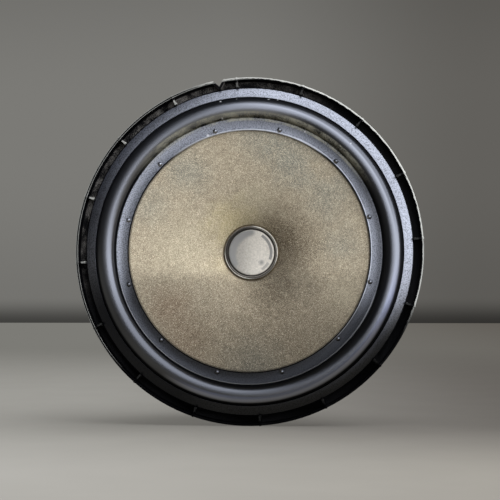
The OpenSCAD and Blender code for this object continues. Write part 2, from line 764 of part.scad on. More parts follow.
// Two rivets through the pad and the connector's flange
module terminal_rivets() {
    stack = pad_t + plug_flange_t;
    color("#b9bcc0") facing() rotate(terminal_turn)
        for (side = [-1, 1]) translate([plug_r, side * rivet_pitch / 2, shroud_front_z]) {
            cylinder(d = rivet_d, h = stack, $fn = small_fn);
            translate([0, 0, stack]) cylinder(d = rivet_head_d, h = rivet_head_h, $fn = small_fn);
            translate([0, 0, -rivet_head_h])
                cylinder(d = rivet_head_d, h = rivet_head_h, $fn = small_fn);
        }
}

// A turned ring with chamfered outer corners
module chamfered_ring(inner, outer, back, front, chamfer) {
    rotate_extrude() polygon([
        [inner, back], [outer - chamfer, back], [outer, back + chamfer],
        [outer, front - chamfer], [outer - chamfer, front], [inner, front]
    ]);
}

// Steel plate in front of the magnet, tapped for the motor screws
module top_plate() {
    color("#8d9196") facing() difference() {
        chamfered_ring(winding_out_r + gap_out, plate_d / 2, plate_back_z, plate_front_z,
            plate_chamfer);
        around(motor_screws, 45) translate([motor_circle_r, 0, plate_back_z - past])
            cylinder(d = motor_screw_d + 2 * hole_gap, h = plate_t + 2 * past, $fn = small_fn);
    }
}

// Ferrite ring
module magnet_ring() {
    color("#3a3b3d") facing()
        chamfered_ring(magnet_bore_d / 2, magnet_d / 2, magnet_back_z, plate_back_z,
            magnet_chamfer);
}

// Steel back plate and pole in one turning, with a centre dimple behind
module pole_yoke() {
    fillet = 1.5;
    dimple_r = 4;
    dimple_h = 1.5;
    color("#8d9196") facing() rotate_extrude() polygon(concat(
        [[0, yoke_back_z + dimple_h], [dimple_r, yoke_back_z],
         [yoke_d / 2 - plate_chamfer, yoke_back_z], [yoke_d / 2, yoke_back_z + plate_chamfer],
         [yoke_d / 2, magnet_back_z - plate_chamfer],
         [yoke_d / 2 - plate_chamfer, magnet_back_z]],
        arch(pole_r + fillet, fillet, fillet, magnet_back_z + fillet, 6, 270, 180),
        [[pole_r, pole_front_z - plate_chamfer], [pole_r - plate_chamfer, pole_front_z],
         [0, pole_front_z]]
    ));
}

// Screws that hold the base ring to the top plate
module plate_screws() {
    recess_w = 1;
    recess_h = 1.2;
    head_chamfer = 0.8;
    color("#a5a8ab") facing() around(motor_screws, 45)
        translate([motor_circle_r, 0, base_front_z]) difference() {
            union() {
                translate([0, 0, motor_screw_short - base_t - plate_t])
                    cylinder(d = motor_screw_d, h = base_t + plate_t, $fn = small_fn);
                rotate_extrude($fn = small_fn) polygon([
                    [0, 0], [motor_head_d / 2, 0],
                    [motor_head_d / 2, motor_head_h - head_chamfer],
                    [motor_head_d / 2 - head_chamfer, motor_head_h], [0, motor_head_h]
                ]);
            }
            for (turn = [0, 90]) rotate(turn)
                translate([-motor_head_d / 4, -recess_w / 2, motor_head_h - recess_h])
                    cube([motor_head_d / 2, recess_w, recess_h + past]);
        }
}

// A point on a smooth curve through four neighbours
function smooth_point(a, b, c, d, t) = 0.5 * (2 * b + (c - a) * t
    + (2 * a - 5 * b + 4 * c - d) * t * t + (3 * b - a - 3 * c + d) * t * t * t);

// The route with points added between its own
function smooth_route(route, spans) = let (last = len(route) - 1) concat(
    [for (i = [0 : last - 1], k = [0 : spans - 1])
        smooth_point(route[max(i - 1, 0)], route[i], route[i + 1], route[min(i + 2, last)],
            k / spans)],
    [route[last]]);

function unit(v) = v / norm(v);

// A round tube swept along a route, with its ring of corners kept level
module tube(route, diameter, sides) {
    last = len(route) - 1;
    ahead = [for (i = [0 : last]) unit(route[min(i + 1, last)] - route[max(i - 1, 0)])];
    across = [for (d = ahead) unit(cross(d, [0, 0, 1]))];
    up = [for (i = [0 : last]) cross(across[i], ahead[i])];
    corners = [for (i = [0 : last], k = [0 : sides - 1]) let (a = 360 * k / sides)
        route[i] + diameter / 2 * (cos(a) * across[i] + sin(a) * up[i])];
    sides_faces = [for (i = [0 : last - 1], k = [0 : sides - 1], half = [0, 1])
        let (a = i * sides + k, b = i * sides + (k + 1) % sides)
            half == 0 ? [a, b, b + sides] : [a, b + sides, a + sides]];
    ends = [for (k = [1 : sides - 2]) each [[0, k + 1, k],
        [last * sides, last * sides + k, last * sides + k + 1]]];
    polyhedron(corners, concat(sides_faces, ends), convexity = 4);
}

// One braided lead from its tab to the back of the cone
module lead() {
    tube(smooth_route(lead_route, lead_rings_per_span), lead_d, lead_sides);
}

// Lead on the positive side
module lead_positive() {
    color("#b87a4b") facing() lead();
}

// Lead on the negative side
module lead_negative() {
    color("#b87a4b") facing() mirror([1, 0, 0]) lead();
}

// Curved paper cone with a flat flange under the surround
module cone() {
    last = len(cone_radii) - 1;
    color("#a39679") facing() rotate_extrude() polygon(concat(
        [for (r = cone_radii) [r, cone_front(r)]],
        [[cone_rim_r, seat_z], [cone_rim_r, seat_z - paper_t]],
        [for (i = [last : -1 : 0]) [cone_radii[i], cone_back(cone_radii[i])]]
    ));
}

// Space in front of the cone's back, which trims what is glued behind the cone
module cone_space() {
    rotate_extrude() polygon(concat(
        [for (r = cone_radii) [r, cone_back(r) - glue_gap]],
        [[lip_in_r, seat_z + past], [neck_r, seat_z + past]]
    ));
}

// Shallow metal cap pressed into the former, with a rolled bead round its sunk disc
module dust_cap() {
    bead_inset = 0.2;
    dish_share = 0.6;
    skirt_r = former_in_r - glue_gap;
    bead_r = cap_bead_w / 2;
    bead_mid_r = skirt_r - bead_inset - bead_r;
    bead_z = former_front_z - bead_r;
    groove_out_r = bead_mid_r - bead_r;
    edge_r = groove_out_r - cap_groove_w;
    disc_r = edge_r - cap_round;
    disc_z = former_front_z - cap_drop;
    groove_z = disc_z - cap_groove_h;
    dish_z = disc_z - cap_dish * dish_share;
    skirt_z = former_front_z - cap_skirt_h;
    color("#c9c6be") facing() rotate_extrude() polygon(concat(
        [[0, disc_z - cap_dish], [disc_r * dish_share, dish_z]],
        arch(disc_r, cap_round, cap_round, disc_z - cap_round, 6, 90, 0),
        [[edge_r, groove_z], [groove_out_r, groove_z]],
        arch(bead_mid_r, bead_r, bead_r, bead_z, 10, 180, 0),
        [[skirt_r, bead_z - bead_r], [skirt_r, skirt_z], [skirt_r - cap_t, skirt_z],
         [skirt_r - cap_t, groove_z - cap_t], [edge_r - cap_t, groove_z - cap_t],
         [edge_r - cap_t, disc_z - cap_round], [disc_r, disc_z - cap_t],
         [disc_r * dish_share, dish_z - cap_t], [0, disc_z - cap_dish - cap_t]]
    ));
}

// Thin tube that carries the winding, with air holes behind the collar
module coil_former() {
    air_z = (collar_back_z + winding_front_z) / 2;
    color("#c4c7cb") facing() difference() {
        ring(former_in_r, former_out_r, former_back_z, former_front_z);
        around(air_hole_count, 180 / air_hole_count)
            translate([former_in_r - past, 0, air_z])
                rotate([0, 90, 0]) cylinder(d = air_hole_d, h = 3 * past, $fn = small_fn);
    }
}

// Paper band round the former, slotted for the wire ends
module coil_collar() {
    color("#b08a5a") facing() translate([0, 0, collar_back_z]) linear_extrude(collar_h)
        difference() {
            ring_2d(collar_in_r, collar_out_r);
            for (side = [-1, 1]) rotate(terminal_turn + side * joint_turn)
                band_2d(tail_w + 2 * hole_gap);
        }
}

// Winding, as its outer form
module voice_coil() {
    color("#b5622f") facing()
        ring(collar_in_r, winding_out_r, winding_back_z, winding_front_z);
}

// The coil's two wire ends, flat beside the collar and then round up to the joints
module coil_tails() {
    rise = [tail_end_r - collar_out_r, tail_end_z - tail_front_z];
    color("#b5622f") facing() for (side = [-1, 1]) rotate(terminal_turn + side * joint_turn) {
        translate([collar_in_r, -tail_w / 2, winding_front_z])
            cube([collar_t, tail_w, tail_front_z - winding_front_z]);
        translate([collar_out_r - collar_t / 2, 0, tail_front_z])
            rotate([0, atan2(rise[0], rise[1]), 0])
                cylinder(d = tail_d, h = norm(rise), $fn = small_fn);
    }
}

// Solder joints under glue, seated on the cone's back
module lead_joints() {
    color("#3d2b1c") facing() difference() {
        for (side = [-1, 1]) rotate(terminal_turn + side * joint_turn)
            translate([joint_r, 0, joint_back_z]) {
                cylinder(d = joint_d, h = joint_front_z - joint_back_z, $fn = small_fn);
            }
        cone_space();
    }
}

// Glue bead in the corner between the former and the cone
module neck_adhesive() {
    steps = 6;
    shoulder = 0.35;
    color("#2c2018") facing() rotate_extrude() polygon(concat(
        [[former_out_r + glue_gap, collar_front_z + glue_gap],
         [former_out_r + glue_gap, neck_z + glue_h + glue_creep],
         [neck_r + glue_w * shoulder, neck_z + glue_h]],
        [for (i = [steps : -1 : 0]) let (r = neck_r + glue_w * i / steps)
            [r, cone_front(r) + glue_gap]],
        [[neck_r, collar_front_z + glue_gap]]
    ));
}

basket();
mounting_seal();
surround();
spider();
connector_housing();
terminal_positive();
terminal_negative();
terminal_rivets();
top_plate();
magnet_ring();
pole_yoke();
plate_screws();
lead_positive();
lead_negative();
cone();
dust_cap();
coil_former();
coil_collar();
voice_coil();
coil_tails();
lead_joints();
neck_adhesive();
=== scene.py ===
"""Looks of a car door speaker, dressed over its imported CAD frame.

The speaker faces -Y with its axis level. Sizes are in millimetres, as in the part's source:
"radius" is the distance from the axis and "front" the height in front of the seating plane.
A mask is a number from 0 to 1. A sector round the axis is given as its middle, its half
width and its fade in degrees, from +X towards +Z.
"""
from __future__ import annotations

import logging
import math
from collections.abc import Iterator, Sequence
from contextlib import contextmanager
from dataclasses import dataclass, field
from enum import Enum

import bpy
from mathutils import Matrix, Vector
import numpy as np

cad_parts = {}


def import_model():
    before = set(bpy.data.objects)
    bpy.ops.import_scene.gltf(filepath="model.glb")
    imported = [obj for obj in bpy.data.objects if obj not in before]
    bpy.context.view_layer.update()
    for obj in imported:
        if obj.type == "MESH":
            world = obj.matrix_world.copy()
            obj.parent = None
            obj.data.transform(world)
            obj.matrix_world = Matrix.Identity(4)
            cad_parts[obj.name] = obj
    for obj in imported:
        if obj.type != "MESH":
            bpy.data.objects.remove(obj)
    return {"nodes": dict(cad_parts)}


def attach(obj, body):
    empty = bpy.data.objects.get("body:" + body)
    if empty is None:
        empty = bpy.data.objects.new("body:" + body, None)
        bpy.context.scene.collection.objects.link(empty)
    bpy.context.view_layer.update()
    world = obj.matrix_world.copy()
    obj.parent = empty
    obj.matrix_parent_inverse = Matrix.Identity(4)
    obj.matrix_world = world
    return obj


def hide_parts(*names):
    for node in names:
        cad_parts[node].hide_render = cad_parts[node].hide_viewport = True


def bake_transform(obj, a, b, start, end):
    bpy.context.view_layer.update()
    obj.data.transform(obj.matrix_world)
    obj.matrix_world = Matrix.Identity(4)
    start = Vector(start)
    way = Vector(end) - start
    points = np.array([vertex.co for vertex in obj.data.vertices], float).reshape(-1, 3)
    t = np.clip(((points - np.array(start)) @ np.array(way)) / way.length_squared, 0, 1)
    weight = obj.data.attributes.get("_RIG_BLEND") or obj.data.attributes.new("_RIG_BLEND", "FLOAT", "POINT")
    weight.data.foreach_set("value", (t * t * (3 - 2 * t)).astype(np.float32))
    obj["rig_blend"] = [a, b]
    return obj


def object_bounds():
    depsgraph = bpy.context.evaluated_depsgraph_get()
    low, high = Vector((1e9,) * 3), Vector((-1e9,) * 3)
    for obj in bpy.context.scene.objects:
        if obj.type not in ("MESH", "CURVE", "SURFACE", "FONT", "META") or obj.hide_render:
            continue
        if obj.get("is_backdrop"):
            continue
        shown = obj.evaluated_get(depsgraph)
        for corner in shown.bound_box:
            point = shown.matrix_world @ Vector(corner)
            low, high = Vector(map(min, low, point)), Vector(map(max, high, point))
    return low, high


MM = 0.001
MERGE = 0.000001

Colour = tuple[float, float, float]
Point = tuple[float, float, float]
Outline = Sequence[tuple[float, float]]

log = logging.getLogger("speaker")


class Body(Enum):
    """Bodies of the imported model."""

    FRAME = "frame"
    DIAPHRAGM = "diaphragm"


class Brushing(Enum):
    """Direction of the fine lines that a tool leaves in metal."""

    TURNED = "turned"
    DRAWN = "drawn"
    PLAIN = "plain"


def srgb(*levels: int) -> Colour:
    """Turns a colour as seen on a screen into a linear one.

    Args:
        levels: Red, green and blue from 0 to 255.

    Returns:
        The linear colour.
    """
    shares = (level / 255 for level in levels)
    return tuple(share / 12.92 if share <= 0.04045 else ((share + 0.055) / 1.055) ** 2.4
                 for share in shares)


def arc(
    radius: float, front: float, width: float, height: float, start: float, end: float,
    steps: int, full: float = 2.0
) -> list[tuple[float, float]]:
    """Points on a stretch of an ellipse in the turned section.

    Args:
        radius: Radius of the ellipse's middle.
        front: Front height of the ellipse's middle.
        width: Half width of the ellipse.
        height: Half height of the ellipse.
        start: First angle in degrees, 0 at the outside.
        end: Last angle in degrees.
        steps: Number of stretches.
        full: 2 for an ellipse, more for fuller shoulders.

    Returns:
        The points, both ends included.
    """
    points = []
    for index in range(steps + 1):
        angle = math.radians(start + (end - start) * index / steps)
        across, up = (math.copysign(abs(part) ** (2 / full), part)
                      for part in (math.cos(angle), math.sin(angle)))
        points.append((radius + width * across, front + height * up))
    return points


def deselect() -> None:
    """Leaves nothing selected."""
    bpy.ops.object.select_all(action="DESELECT")


def choose(piece: bpy.types.Object) -> None:
    """Selects one piece alone and makes it active.

    Args:
        piece: The piece.
    """
    deselect()
    piece.select_set(True)
    bpy.context.view_layer.objects.active = piece


@contextmanager
def editing(piece: bpy.types.Object, select: str = "SELECT") -> Iterator[None]:
    """Opens a piece in edit mode and closes it again.

    Args:
        piece: The piece.
        select: What to do with the whole selection first, or nothing.

    Yields:
        Nothing, while the piece is open.
    """
    choose(piece)
    bpy.ops.object.mode_set(mode="EDIT")
    if select:
        bpy.ops.mesh.select_all(action=select)
    yield
    bpy.ops.object.mode_set(mode="OBJECT")


def close_shell() -> None:
    """Merges doubles and turns all faces outward in the open mesh."""
    bpy.ops.mesh.select_all(action="SELECT")
    bpy.ops.mesh.remove_doubles(threshold=MERGE)
    bpy.ops.mesh.normals_make_consistent(inside=False)


def name_piece(piece: bpy.types.Object, name: str) -> bpy.types.Object:
    """Names a piece and its mesh alike, and hands the piece back."""
    piece.name = piece.data.name = name
    return piece


def turned(name: str, outline: Outline, steps: int) -> bpy.types.Object:
    """Turns a closed outline about the speaker's axis, as on a lathe.

    Args:
        name: Name of the new piece.
        outline: Corners of the section as radius and front height.
        steps: Number of stretches round the axis.

    Returns:
        The closed ring.
    """
    deselect()
    bpy.ops.mesh.primitive_plane_add(size=MM)
    piece = name_piece(bpy.context.object, name)
    radius, front = outline[0]
    with editing(piece):
        bpy.ops.mesh.merge(type="CENTER")
        bpy.ops.transform.translate(value=(radius * MM, -front * MM, 0))
        for next_radius, next_front in [*outline[1:], outline[0]]:
            step = ((next_radius - radius) * MM, (front - next_front) * MM, 0)
            bpy.ops.mesh.extrude_vertices_move(TRANSFORM_OT_translate={"value": step})
            radius, front = next_radius, next_front
        bpy.ops.mesh.select_all(action="SELECT")
        bpy.ops.mesh.remove_doubles(threshold=MERGE)
        bpy.ops.mesh.spin(steps=steps, angle=math.tau, center=(0, 0, 0), axis=(0, 1, 0))
        close_shell()
    return piece


def bevel(piece: bpy.types.Object, width: float, segments: int = 2, angle: float = 35) -> None:
    """Rounds a piece's sharp edges and keeps the result.

    Args:
        piece: The piece.
        width: Width of the rounding in millimetres.
        segments: Faces across the rounding.
        angle: Edges sharper than this many degrees are rounded.
    """
    choose(piece)
    bpy.ops.object.modifier_add(type="BEVEL")
    modifier = piece.modifiers[-1]
    modifier.width = width * MM
    modifier.segments = segments
    modifier.limit_method = "ANGLE"
    modifier.angle_limit = math.radians(angle)
    bpy.ops.object.modifier_apply(modifier=modifier.name)


def settle(piece: bpy.types.Object) -> None:
    """Puts a piece's place, turn and scale into its mesh."""
    choose(piece)
    bpy.ops.object.transform_apply(location=True, rotation=True, scale=True)


def bend_round_axis(piece: bpy.types.Object, still: float, moving: float) -> None:
    """Lets a ring bend between the frame and the diaphragm by its distance from the axis.

    Args:
        piece: The ring, with its final mesh.
        still: Radius that stays with the frame.
        moving: Radius that moves with the diaphragm.
    """
    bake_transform(piece, Body.FRAME.value, Body.DIAPHRAGM.value, (0, 0, 0), (0, -MM, 0))
    weights = piece.data.attributes["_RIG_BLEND"].data
    for vertex, weight in zip(piece.data.vertices, weights):
        radius = math.hypot(vertex.co.x, vertex.co.z) / MM
        share = min(max((still - radius) / (still - moving), 0), 1)
        weight.value = share * share * (3 - 2 * share)


@dataclass(frozen=True)
class Wire:
    """An output of a shader node, which can be reckoned with as a number."""

    tree: Tree
    socket: bpy.types.NodeSocket

    def __add__(self, other: Value) -> Wire:
        """This and the other together."""
        return self.tree.maths("ADD", self, other)

    def __sub__(self, other: Value) -> Wire:
        """This less the other."""
        return self.tree.maths("SUBTRACT", self, other)

    def __rsub__(self, other: Value) -> Wire:
        """The other less this."""
        return self.tree.maths("SUBTRACT", other, self)

    def __mul__(self, other: Value) -> Wire:
        """This times the other."""
        return self.tree.maths("MULTIPLY", self, other)

    def __or__(self, other: Value) -> Wire:
        """The larger of the two."""
        return self.tree.maths("MAXIMUM", self, other)


Value = Wire | float | Sequence[float]


class Tree:
    """Short ways to add and join shader nodes."""

    def __init__(self, tree: bpy.types.NodeTree) -> None:
        """Keeps the tree to work in."""
        self.tree = tree

    def add(self, kind: str, **settings: object) -> bpy.types.Node:
        """Adds a node.

        Args:
            kind: The node's type name.
            settings: Properties to set on it.

        Returns:
            The node.
        """
        node = self.tree.nodes.new(kind)
        for name, value in settings.items():
            setattr(node, name, value)
        return node

    def feed(self, socket: bpy.types.NodeSocket, value: Value) -> None:
        """Links an output to an input, or sets the input's own value.

        Args:
            socket: The input.
            value: An output, a number, a vector or a colour.
        """
        if isinstance(value, Wire):
            self.tree.links.new(value.socket, socket)
        elif socket.type == "RGBA" and len(value) == 3:
            socket.default_value = (*value, 1)
        else:
            socket.default_value = value

    def run(
        self, kind: str, output: int | str, inputs: dict[int | str, Value], **settings: object
    ) -> Wire:
        """Adds a node, feeds it and takes one of its outputs.

        Args:
            kind: The node's type name.
            output: Name or number of the output.
            inputs: What to feed, by the inputs' names or numbers.
            settings: Properties to set on the node.

        Returns:
            The output.
        """
        node = self.add(kind, **settings)
        for name, value in inputs.items():
            self.feed(node.inputs[name], value)
        return Wire(self, node.outputs[output])

    def maths(self, operation: str, *values: Value, clamp: bool = False) -> Wire:
        """Adds a sum of one to three values, kept between 0 and 1 by clamp."""
        return self.run("ShaderNodeMath", 0, dict(enumerate(values)), operation=operation,
                        use_clamp=clamp)

    def ramp(self, value: Value, low: Value, high: Value, start: Value = 0, end: Value = 1) -> Wire:
        """Turns the range from low to high into the one from start to end, with soft ends."""
        return self.run("ShaderNodeMapRange", 0, dict(enumerate((value, low, high, start, end))),
                        interpolation_type="SMOOTHSTEP")

    def vary(self, pattern: Wire, low: float, high: float) -> Wire:
        """Turns a noise pattern's usual range into another."""
        return self.ramp(pattern, 0.3, 0.7, low, high)

    def blend(self, share: Value, first: Value, second: Value) -> Wire:
        """Mixes two colours by the second one's share."""
        return self.run("ShaderNodeMix", 2, {"Factor": share, 6: first, 7: second},
                        data_type="RGBA")

    def shade(self, colour: Value, level: Value) -> Wire:
        """Makes a colour lighter or darker by a factor."""
        return self.run("ShaderNodeVectorMath", 0, {0: colour, "Scale": level}, operation="SCALE")

    def noise(
        self, place: Value, size: float, detail: float = 2, rough: float = 0.5, twist: float = 0
    ) -> Wire:
        """Adds a noise pattern.

        Args:
            place: Coordinates in metres.
            size: Size of a blotch.
            detail: Number of finer layers.
            rough: Strength of the finer layers.
            twist: Distortion.

        Returns:
            The pattern, about 0.5 on average.
        """
        return self.run("ShaderNodeTexNoise", "Fac", {
            "Vector": place, "Scale": 1 / (size * MM), "Detail": detail, "Roughness": rough,
            "Distortion": twist})

    def bump(self, height: Wire, distance: float, strength: float, *under: Wire) -> Wire:
        """Raises a surface by a pattern.

        Args:
            height: The pattern.
            distance: Height of a full step in the pattern.
            strength: Share of the effect.
            under: Normal that another pattern made.

        Returns:
            The normal.
        """
        inputs = {"Height": height, "Distance": distance * MM, "Strength": strength}
        inputs |= {"Normal": normal for normal in under}
        return self.run("ShaderNodeBump", "Normal", inputs)

    def axes(self, place: Value) -> list[Wire]:
        """Takes a vector apart.

        Args:
            place: The vector.

        Returns:
            Its three parts.
        """
        node = self.add("ShaderNodeSeparateXYZ")
        self.feed(node.inputs[0], place)
        return [Wire(self, part) for part in node.outputs]

    def effect(self, group: bpy.types.NodeTree, **inputs: Value) -> list[Wire]:
        """Places a shared effect.

        Args:
            group: The effect's node group.
            inputs: Values of its inputs by name.

        Returns:
            Its outputs in order.
        """
        node = self.add("ShaderNodeGroup", node_tree=group)
        for name, value in inputs.items():
            self.feed(node.inputs[name], value)
        return [Wire(self, output) for output in node.outputs]


class Effect(Tree):
    """A shared effect: a node group with named inputs and outputs."""

    def __init__(self, name: str, outputs: Sequence[str], **inputs: Value) -> None:
        """Makes the group and its sockets.

        Args:
            name: Name of the effect.
            outputs: Names of the outputs, all numbers.
            inputs: Plain values by input name; a sequence makes a vector input.
        """
        group = bpy.data.node_groups.new(name, "ShaderNodeTree")
        for title, value in inputs.items():
            kind = "NodeSocketVector" if isinstance(value, tuple) else "NodeSocketFloat"
            socket = group.interface.new_socket(title, in_out="INPUT", socket_type=kind)
            if kind == "NodeSocketFloat":
                socket.default_value = value
        for title in outputs:
            group.interface.new_socket(title, in_out="OUTPUT", socket_type="NodeSocketFloat")
        super().__init__(group)
        entry = self.add("NodeGroupInput")
        self.given = [Wire(self, entry.outputs[title]) for title in inputs]
        self.exit = self.add("NodeGroupOutput")

    def put_out(self, *values: Value) -> bpy.types.NodeTree:
        """Joins the results to the effect's outputs.

        Args:
            values: Results in the outputs' order.

        Returns:
            The finished group.
        """
        for socket, value in zip(self.exit.inputs, values):
            self.feed(socket, value)
        return self.tree


class Effects:
    """All shared effects, each built once as a node group."""

    def __init__(self) -> None:
        """Builds the node groups."""
        self.polar = self.build_polar()
        self.sector = self.build_sector()
        self.band = self.build_band()
        self.stain = self.build_stain()
        self.dust = self.build_dust()
        self.grain = self.build_grain()
        self.fibre = self.build_fibre()
        self.wear = self.build_wear()

    def build_polar(self) -> bpy.types.NodeTree:
        """Builds the effect that gives a point's place on the speaker.

        Returns:
            A group with Radius and Front.
        """
        effect = Effect("polar place", ["Radius", "Front"], Place=(0, 0, 0))
        x, y, z = effect.axes(effect.given[0])
        return effect.put_out(effect.maths("SQRT", x * x + z * z) * (1 / MM), y * (-1 / MM))

    def build_sector(self) -> bpy.types.NodeTree:
        """Builds the effect that marks a sector round the axis.

        Returns:
            A group whose Mask is 1 within Half degrees of Middle and fades over Fade degrees.
        """
        effect = Effect("sector", ["Mask"], Place=(0, 0, 0), Middle=90.0, Half=40.0, Fade=20.0)
        place, middle, half, fade = effect.given
        x, _, z = effect.axes(place)
        off = effect.maths("ARCTAN2", z, x) - effect.maths("RADIANS", middle)
        away = effect.maths("DEGREES", effect.maths("ARCCOSINE", effect.maths("COSINE", off)))
        return effect.put_out(effect.ramp(away, half, half + fade, 1, 0))

    def build_band(self) -> bpy.types.NodeTree:
        """Builds the effect that marks a band between two values.

        Returns:
            A group whose Mask is 1 between Low and High and fades over Fade outside.
        """
        effect = Effect("band", ["Mask"], Value=0.0, Low=0.0, High=1.0, Fade=0.5)
        value, low, high, fade = effect.given
        rising = effect.ramp(value, low - fade, low)
        return effect.put_out(rising * effect.ramp(value, high, high + fade, 1, 0))

    def build_stain(self) -> bpy.types.NodeTree:
        """Builds the effect that marks a blotch with a ragged edge.

        Returns:
            A group whose Mask is 1 at the blotch's middle.
        """
        effect = Effect("stain", ["Mask"], Place=(0, 0, 0), Across=0.0, Up=0.0, Size=8.0,
                        Ragged=4.0)
        place, across, up, size, ragged = effect.given
        x, _, z = effect.axes(place)
        across, up = x * (1 / MM) - across, z * (1 / MM) - up
        away = effect.maths("SQRT", across * across + up * up)
        cloud = effect.noise(place, 7, 3, 0.6) - 0.5
        return effect.put_out(effect.ramp(cloud * ragged + away, 0, size, 1, 0))

    def build_dust(self) -> bpy.types.NodeTree:
        """Builds the effect that spreads dust over a surface.

        Returns:
            A group whose Mask is patchy dust for an Amount from 0 to 1.
        """
        effect = Effect("dust", ["Mask"], Place=(0, 0, 0), Amount=0.3)
        place, amount = effect.given
        cloud, specks = effect.noise(place, 6, 4, 0.65), effect.noise(place, 0.5, 3, 0.7)
        level = 0.78 - amount * 0.55
        return effect.put_out(effect.ramp(cloud * 0.55 + specks * 0.45, level, level + 0.2))

    def build_grain(self) -> bpy.types.NodeTree:
        """Builds the effect of a fine moulded or cast grain.

        Returns:
            A group with Shade round 0.5 and Height for a bump.
        """
        effect = Effect("grain", ["Shade", "Height"], Place=(0, 0, 0), Size=0.4)
        place, size = effect.given
        scale = effect.maths("DIVIDE", 1 / MM, size)
        fine = effect.run("ShaderNodeTexNoise", "Fac",
                          {"Vector": place, "Scale": scale, "Detail": 2.0})
        cells = effect.run("ShaderNodeTexVoronoi", "Distance",
                           {"Vector": place, "Scale": scale * 0.7}, feature="SMOOTH_F1")
        return effect.put_out(fine, fine + cells * 0.6)

    def build_fibre(self) -> bpy.types.NodeTree:
        """Builds the effect of short matted fibres.

        Returns:
            A group with Shade from 0 to 1, light on the fibres, and Height for a bump.
        """
        effect = Effect("fibre", ["Shade", "Height"], Place=(0, 0, 0), Size=0.6)
        place, size = effect.given
        scale = effect.maths("DIVIDE", 1 / MM, size)
        layers = []
        for twist, share, strength in ((2.4, 1.0, 0.6), (1.2, 1.9, 0.4)):
            worm = effect.run("ShaderNodeTexNoise", "Fac", {
                "Vector": place, "Scale": scale * share, "Detail": 1.0, "Distortion": twist})
            ridge = effect.maths("ABSOLUTE", worm - 0.5)
            layers.append(effect.ramp(ridge, 0, 0.11, 1, 0) * strength)
        both = layers[0] + layers[1]
        return effect.put_out(both, both)

    def build_wear(self) -> bpy.types.NodeTree:
        """Builds the effect that breaks an edge mark up into rubbed stretches.

        Returns:
            A group whose Mask is the Edge mark, rubbed in patches by Amount.
        """
        effect = Effect("edge wear", ["Mask"], Place=(0, 0, 0), Edge=0.0, Amount=0.5)
        place, edge, amount = effect.given
        low = 0.8 - amount * 0.5
        rubbed = effect.ramp(effect.noise(place, 3.5, 3, 0.6), low, low + 0.15)
        return effect.put_out(rubbed * edge)


class Coat(Tree):
    """A material with its Principled shader, ready to be given patterns."""

    def __init__(
        self, name: str, effects: Effects | None, roughness: float, metallic: float = 0
    ) -> None:
        """Starts the material.

        Args:
            name: Name of the material.
            effects: The shared effects, if it uses any.
            roughness: Roughness of the shader where nothing feeds it.
            metallic: Metallic value of the shader.
        """
        self.material = bpy.data.materials.new(name)
        self.material.use_nodes = True
        super().__init__(self.material.node_tree)
        self.effects = effects
        self.shader = self.tree.nodes["Principled BSDF"]
        self.set(Roughness=roughness, Metallic=metallic)
        self.place = Wire(self, self.add("ShaderNodeTexCoord").outputs["Object"])

    def set(self, **values: Value) -> None:
        """Feeds the shader's sockets by name, with _ for a space."""
        for name, value in values.items():
            self.feed(self.shader.inputs[name.replace("_", " ")], value)

    def polar(self) -> list[Wire]:
        """Radius and front height of the point."""
        return self.effect(self.effects.polar, Place=self.place)

    def band(self, value: Wire, low: float, high: float, fade: float) -> Wire:
        """Mask of a band of values, which fades outside it."""
        return self.effect(self.effects.band, Value=value, Low=low, High=high, Fade=fade)[0]

    def sector(self, middle: float, half: float, fade: float) -> Wire:
        """Mask of a sector round the axis."""
        return self.effect(
            self.effects.sector, Place=self.place, Middle=middle, Half=half, Fade=fade)[0]

    def stain(self, across: float, up: float, size: float, ragged: float) -> Wire:
        """Mask of a blotch, placed across and up from the axis."""
        return self.effect(self.effects.stain, Place=self.place, Across=across, Up=up,
                           Size=size, Ragged=ragged)[0]

    def dust(self, amount: float) -> Wire:
        """Mask of patchy dust."""
        return self.effect(self.effects.dust, Place=self.place, Amount=amount)[0]

    def grain(self, size: float) -> list[Wire]:
        """Shade and height of a fine grain."""
        return self.effect(self.effects.grain, Place=self.place, Size=size)


@dataclass(frozen=True)
class Finish:
    """Recipe of a material, which each kind paints in its own way."""

    name: str
    colour: Colour
    roughness: float = 0.5
    metallic: float = 0.0

    def build(self, effects: Effects) -> bpy.types.Material:
        """Builds the material.

        Args:
            effects: The shared effects.

        Returns:
            The material.
        """
        coat = Coat(self.name, effects, self.roughness, self.metallic)
        self.paint(coat)
        return coat.material

    def paint(self, coat: Coat) -> None:
        """Feeds the shader of the material being built."""
        raise NotImplementedError(self.name)


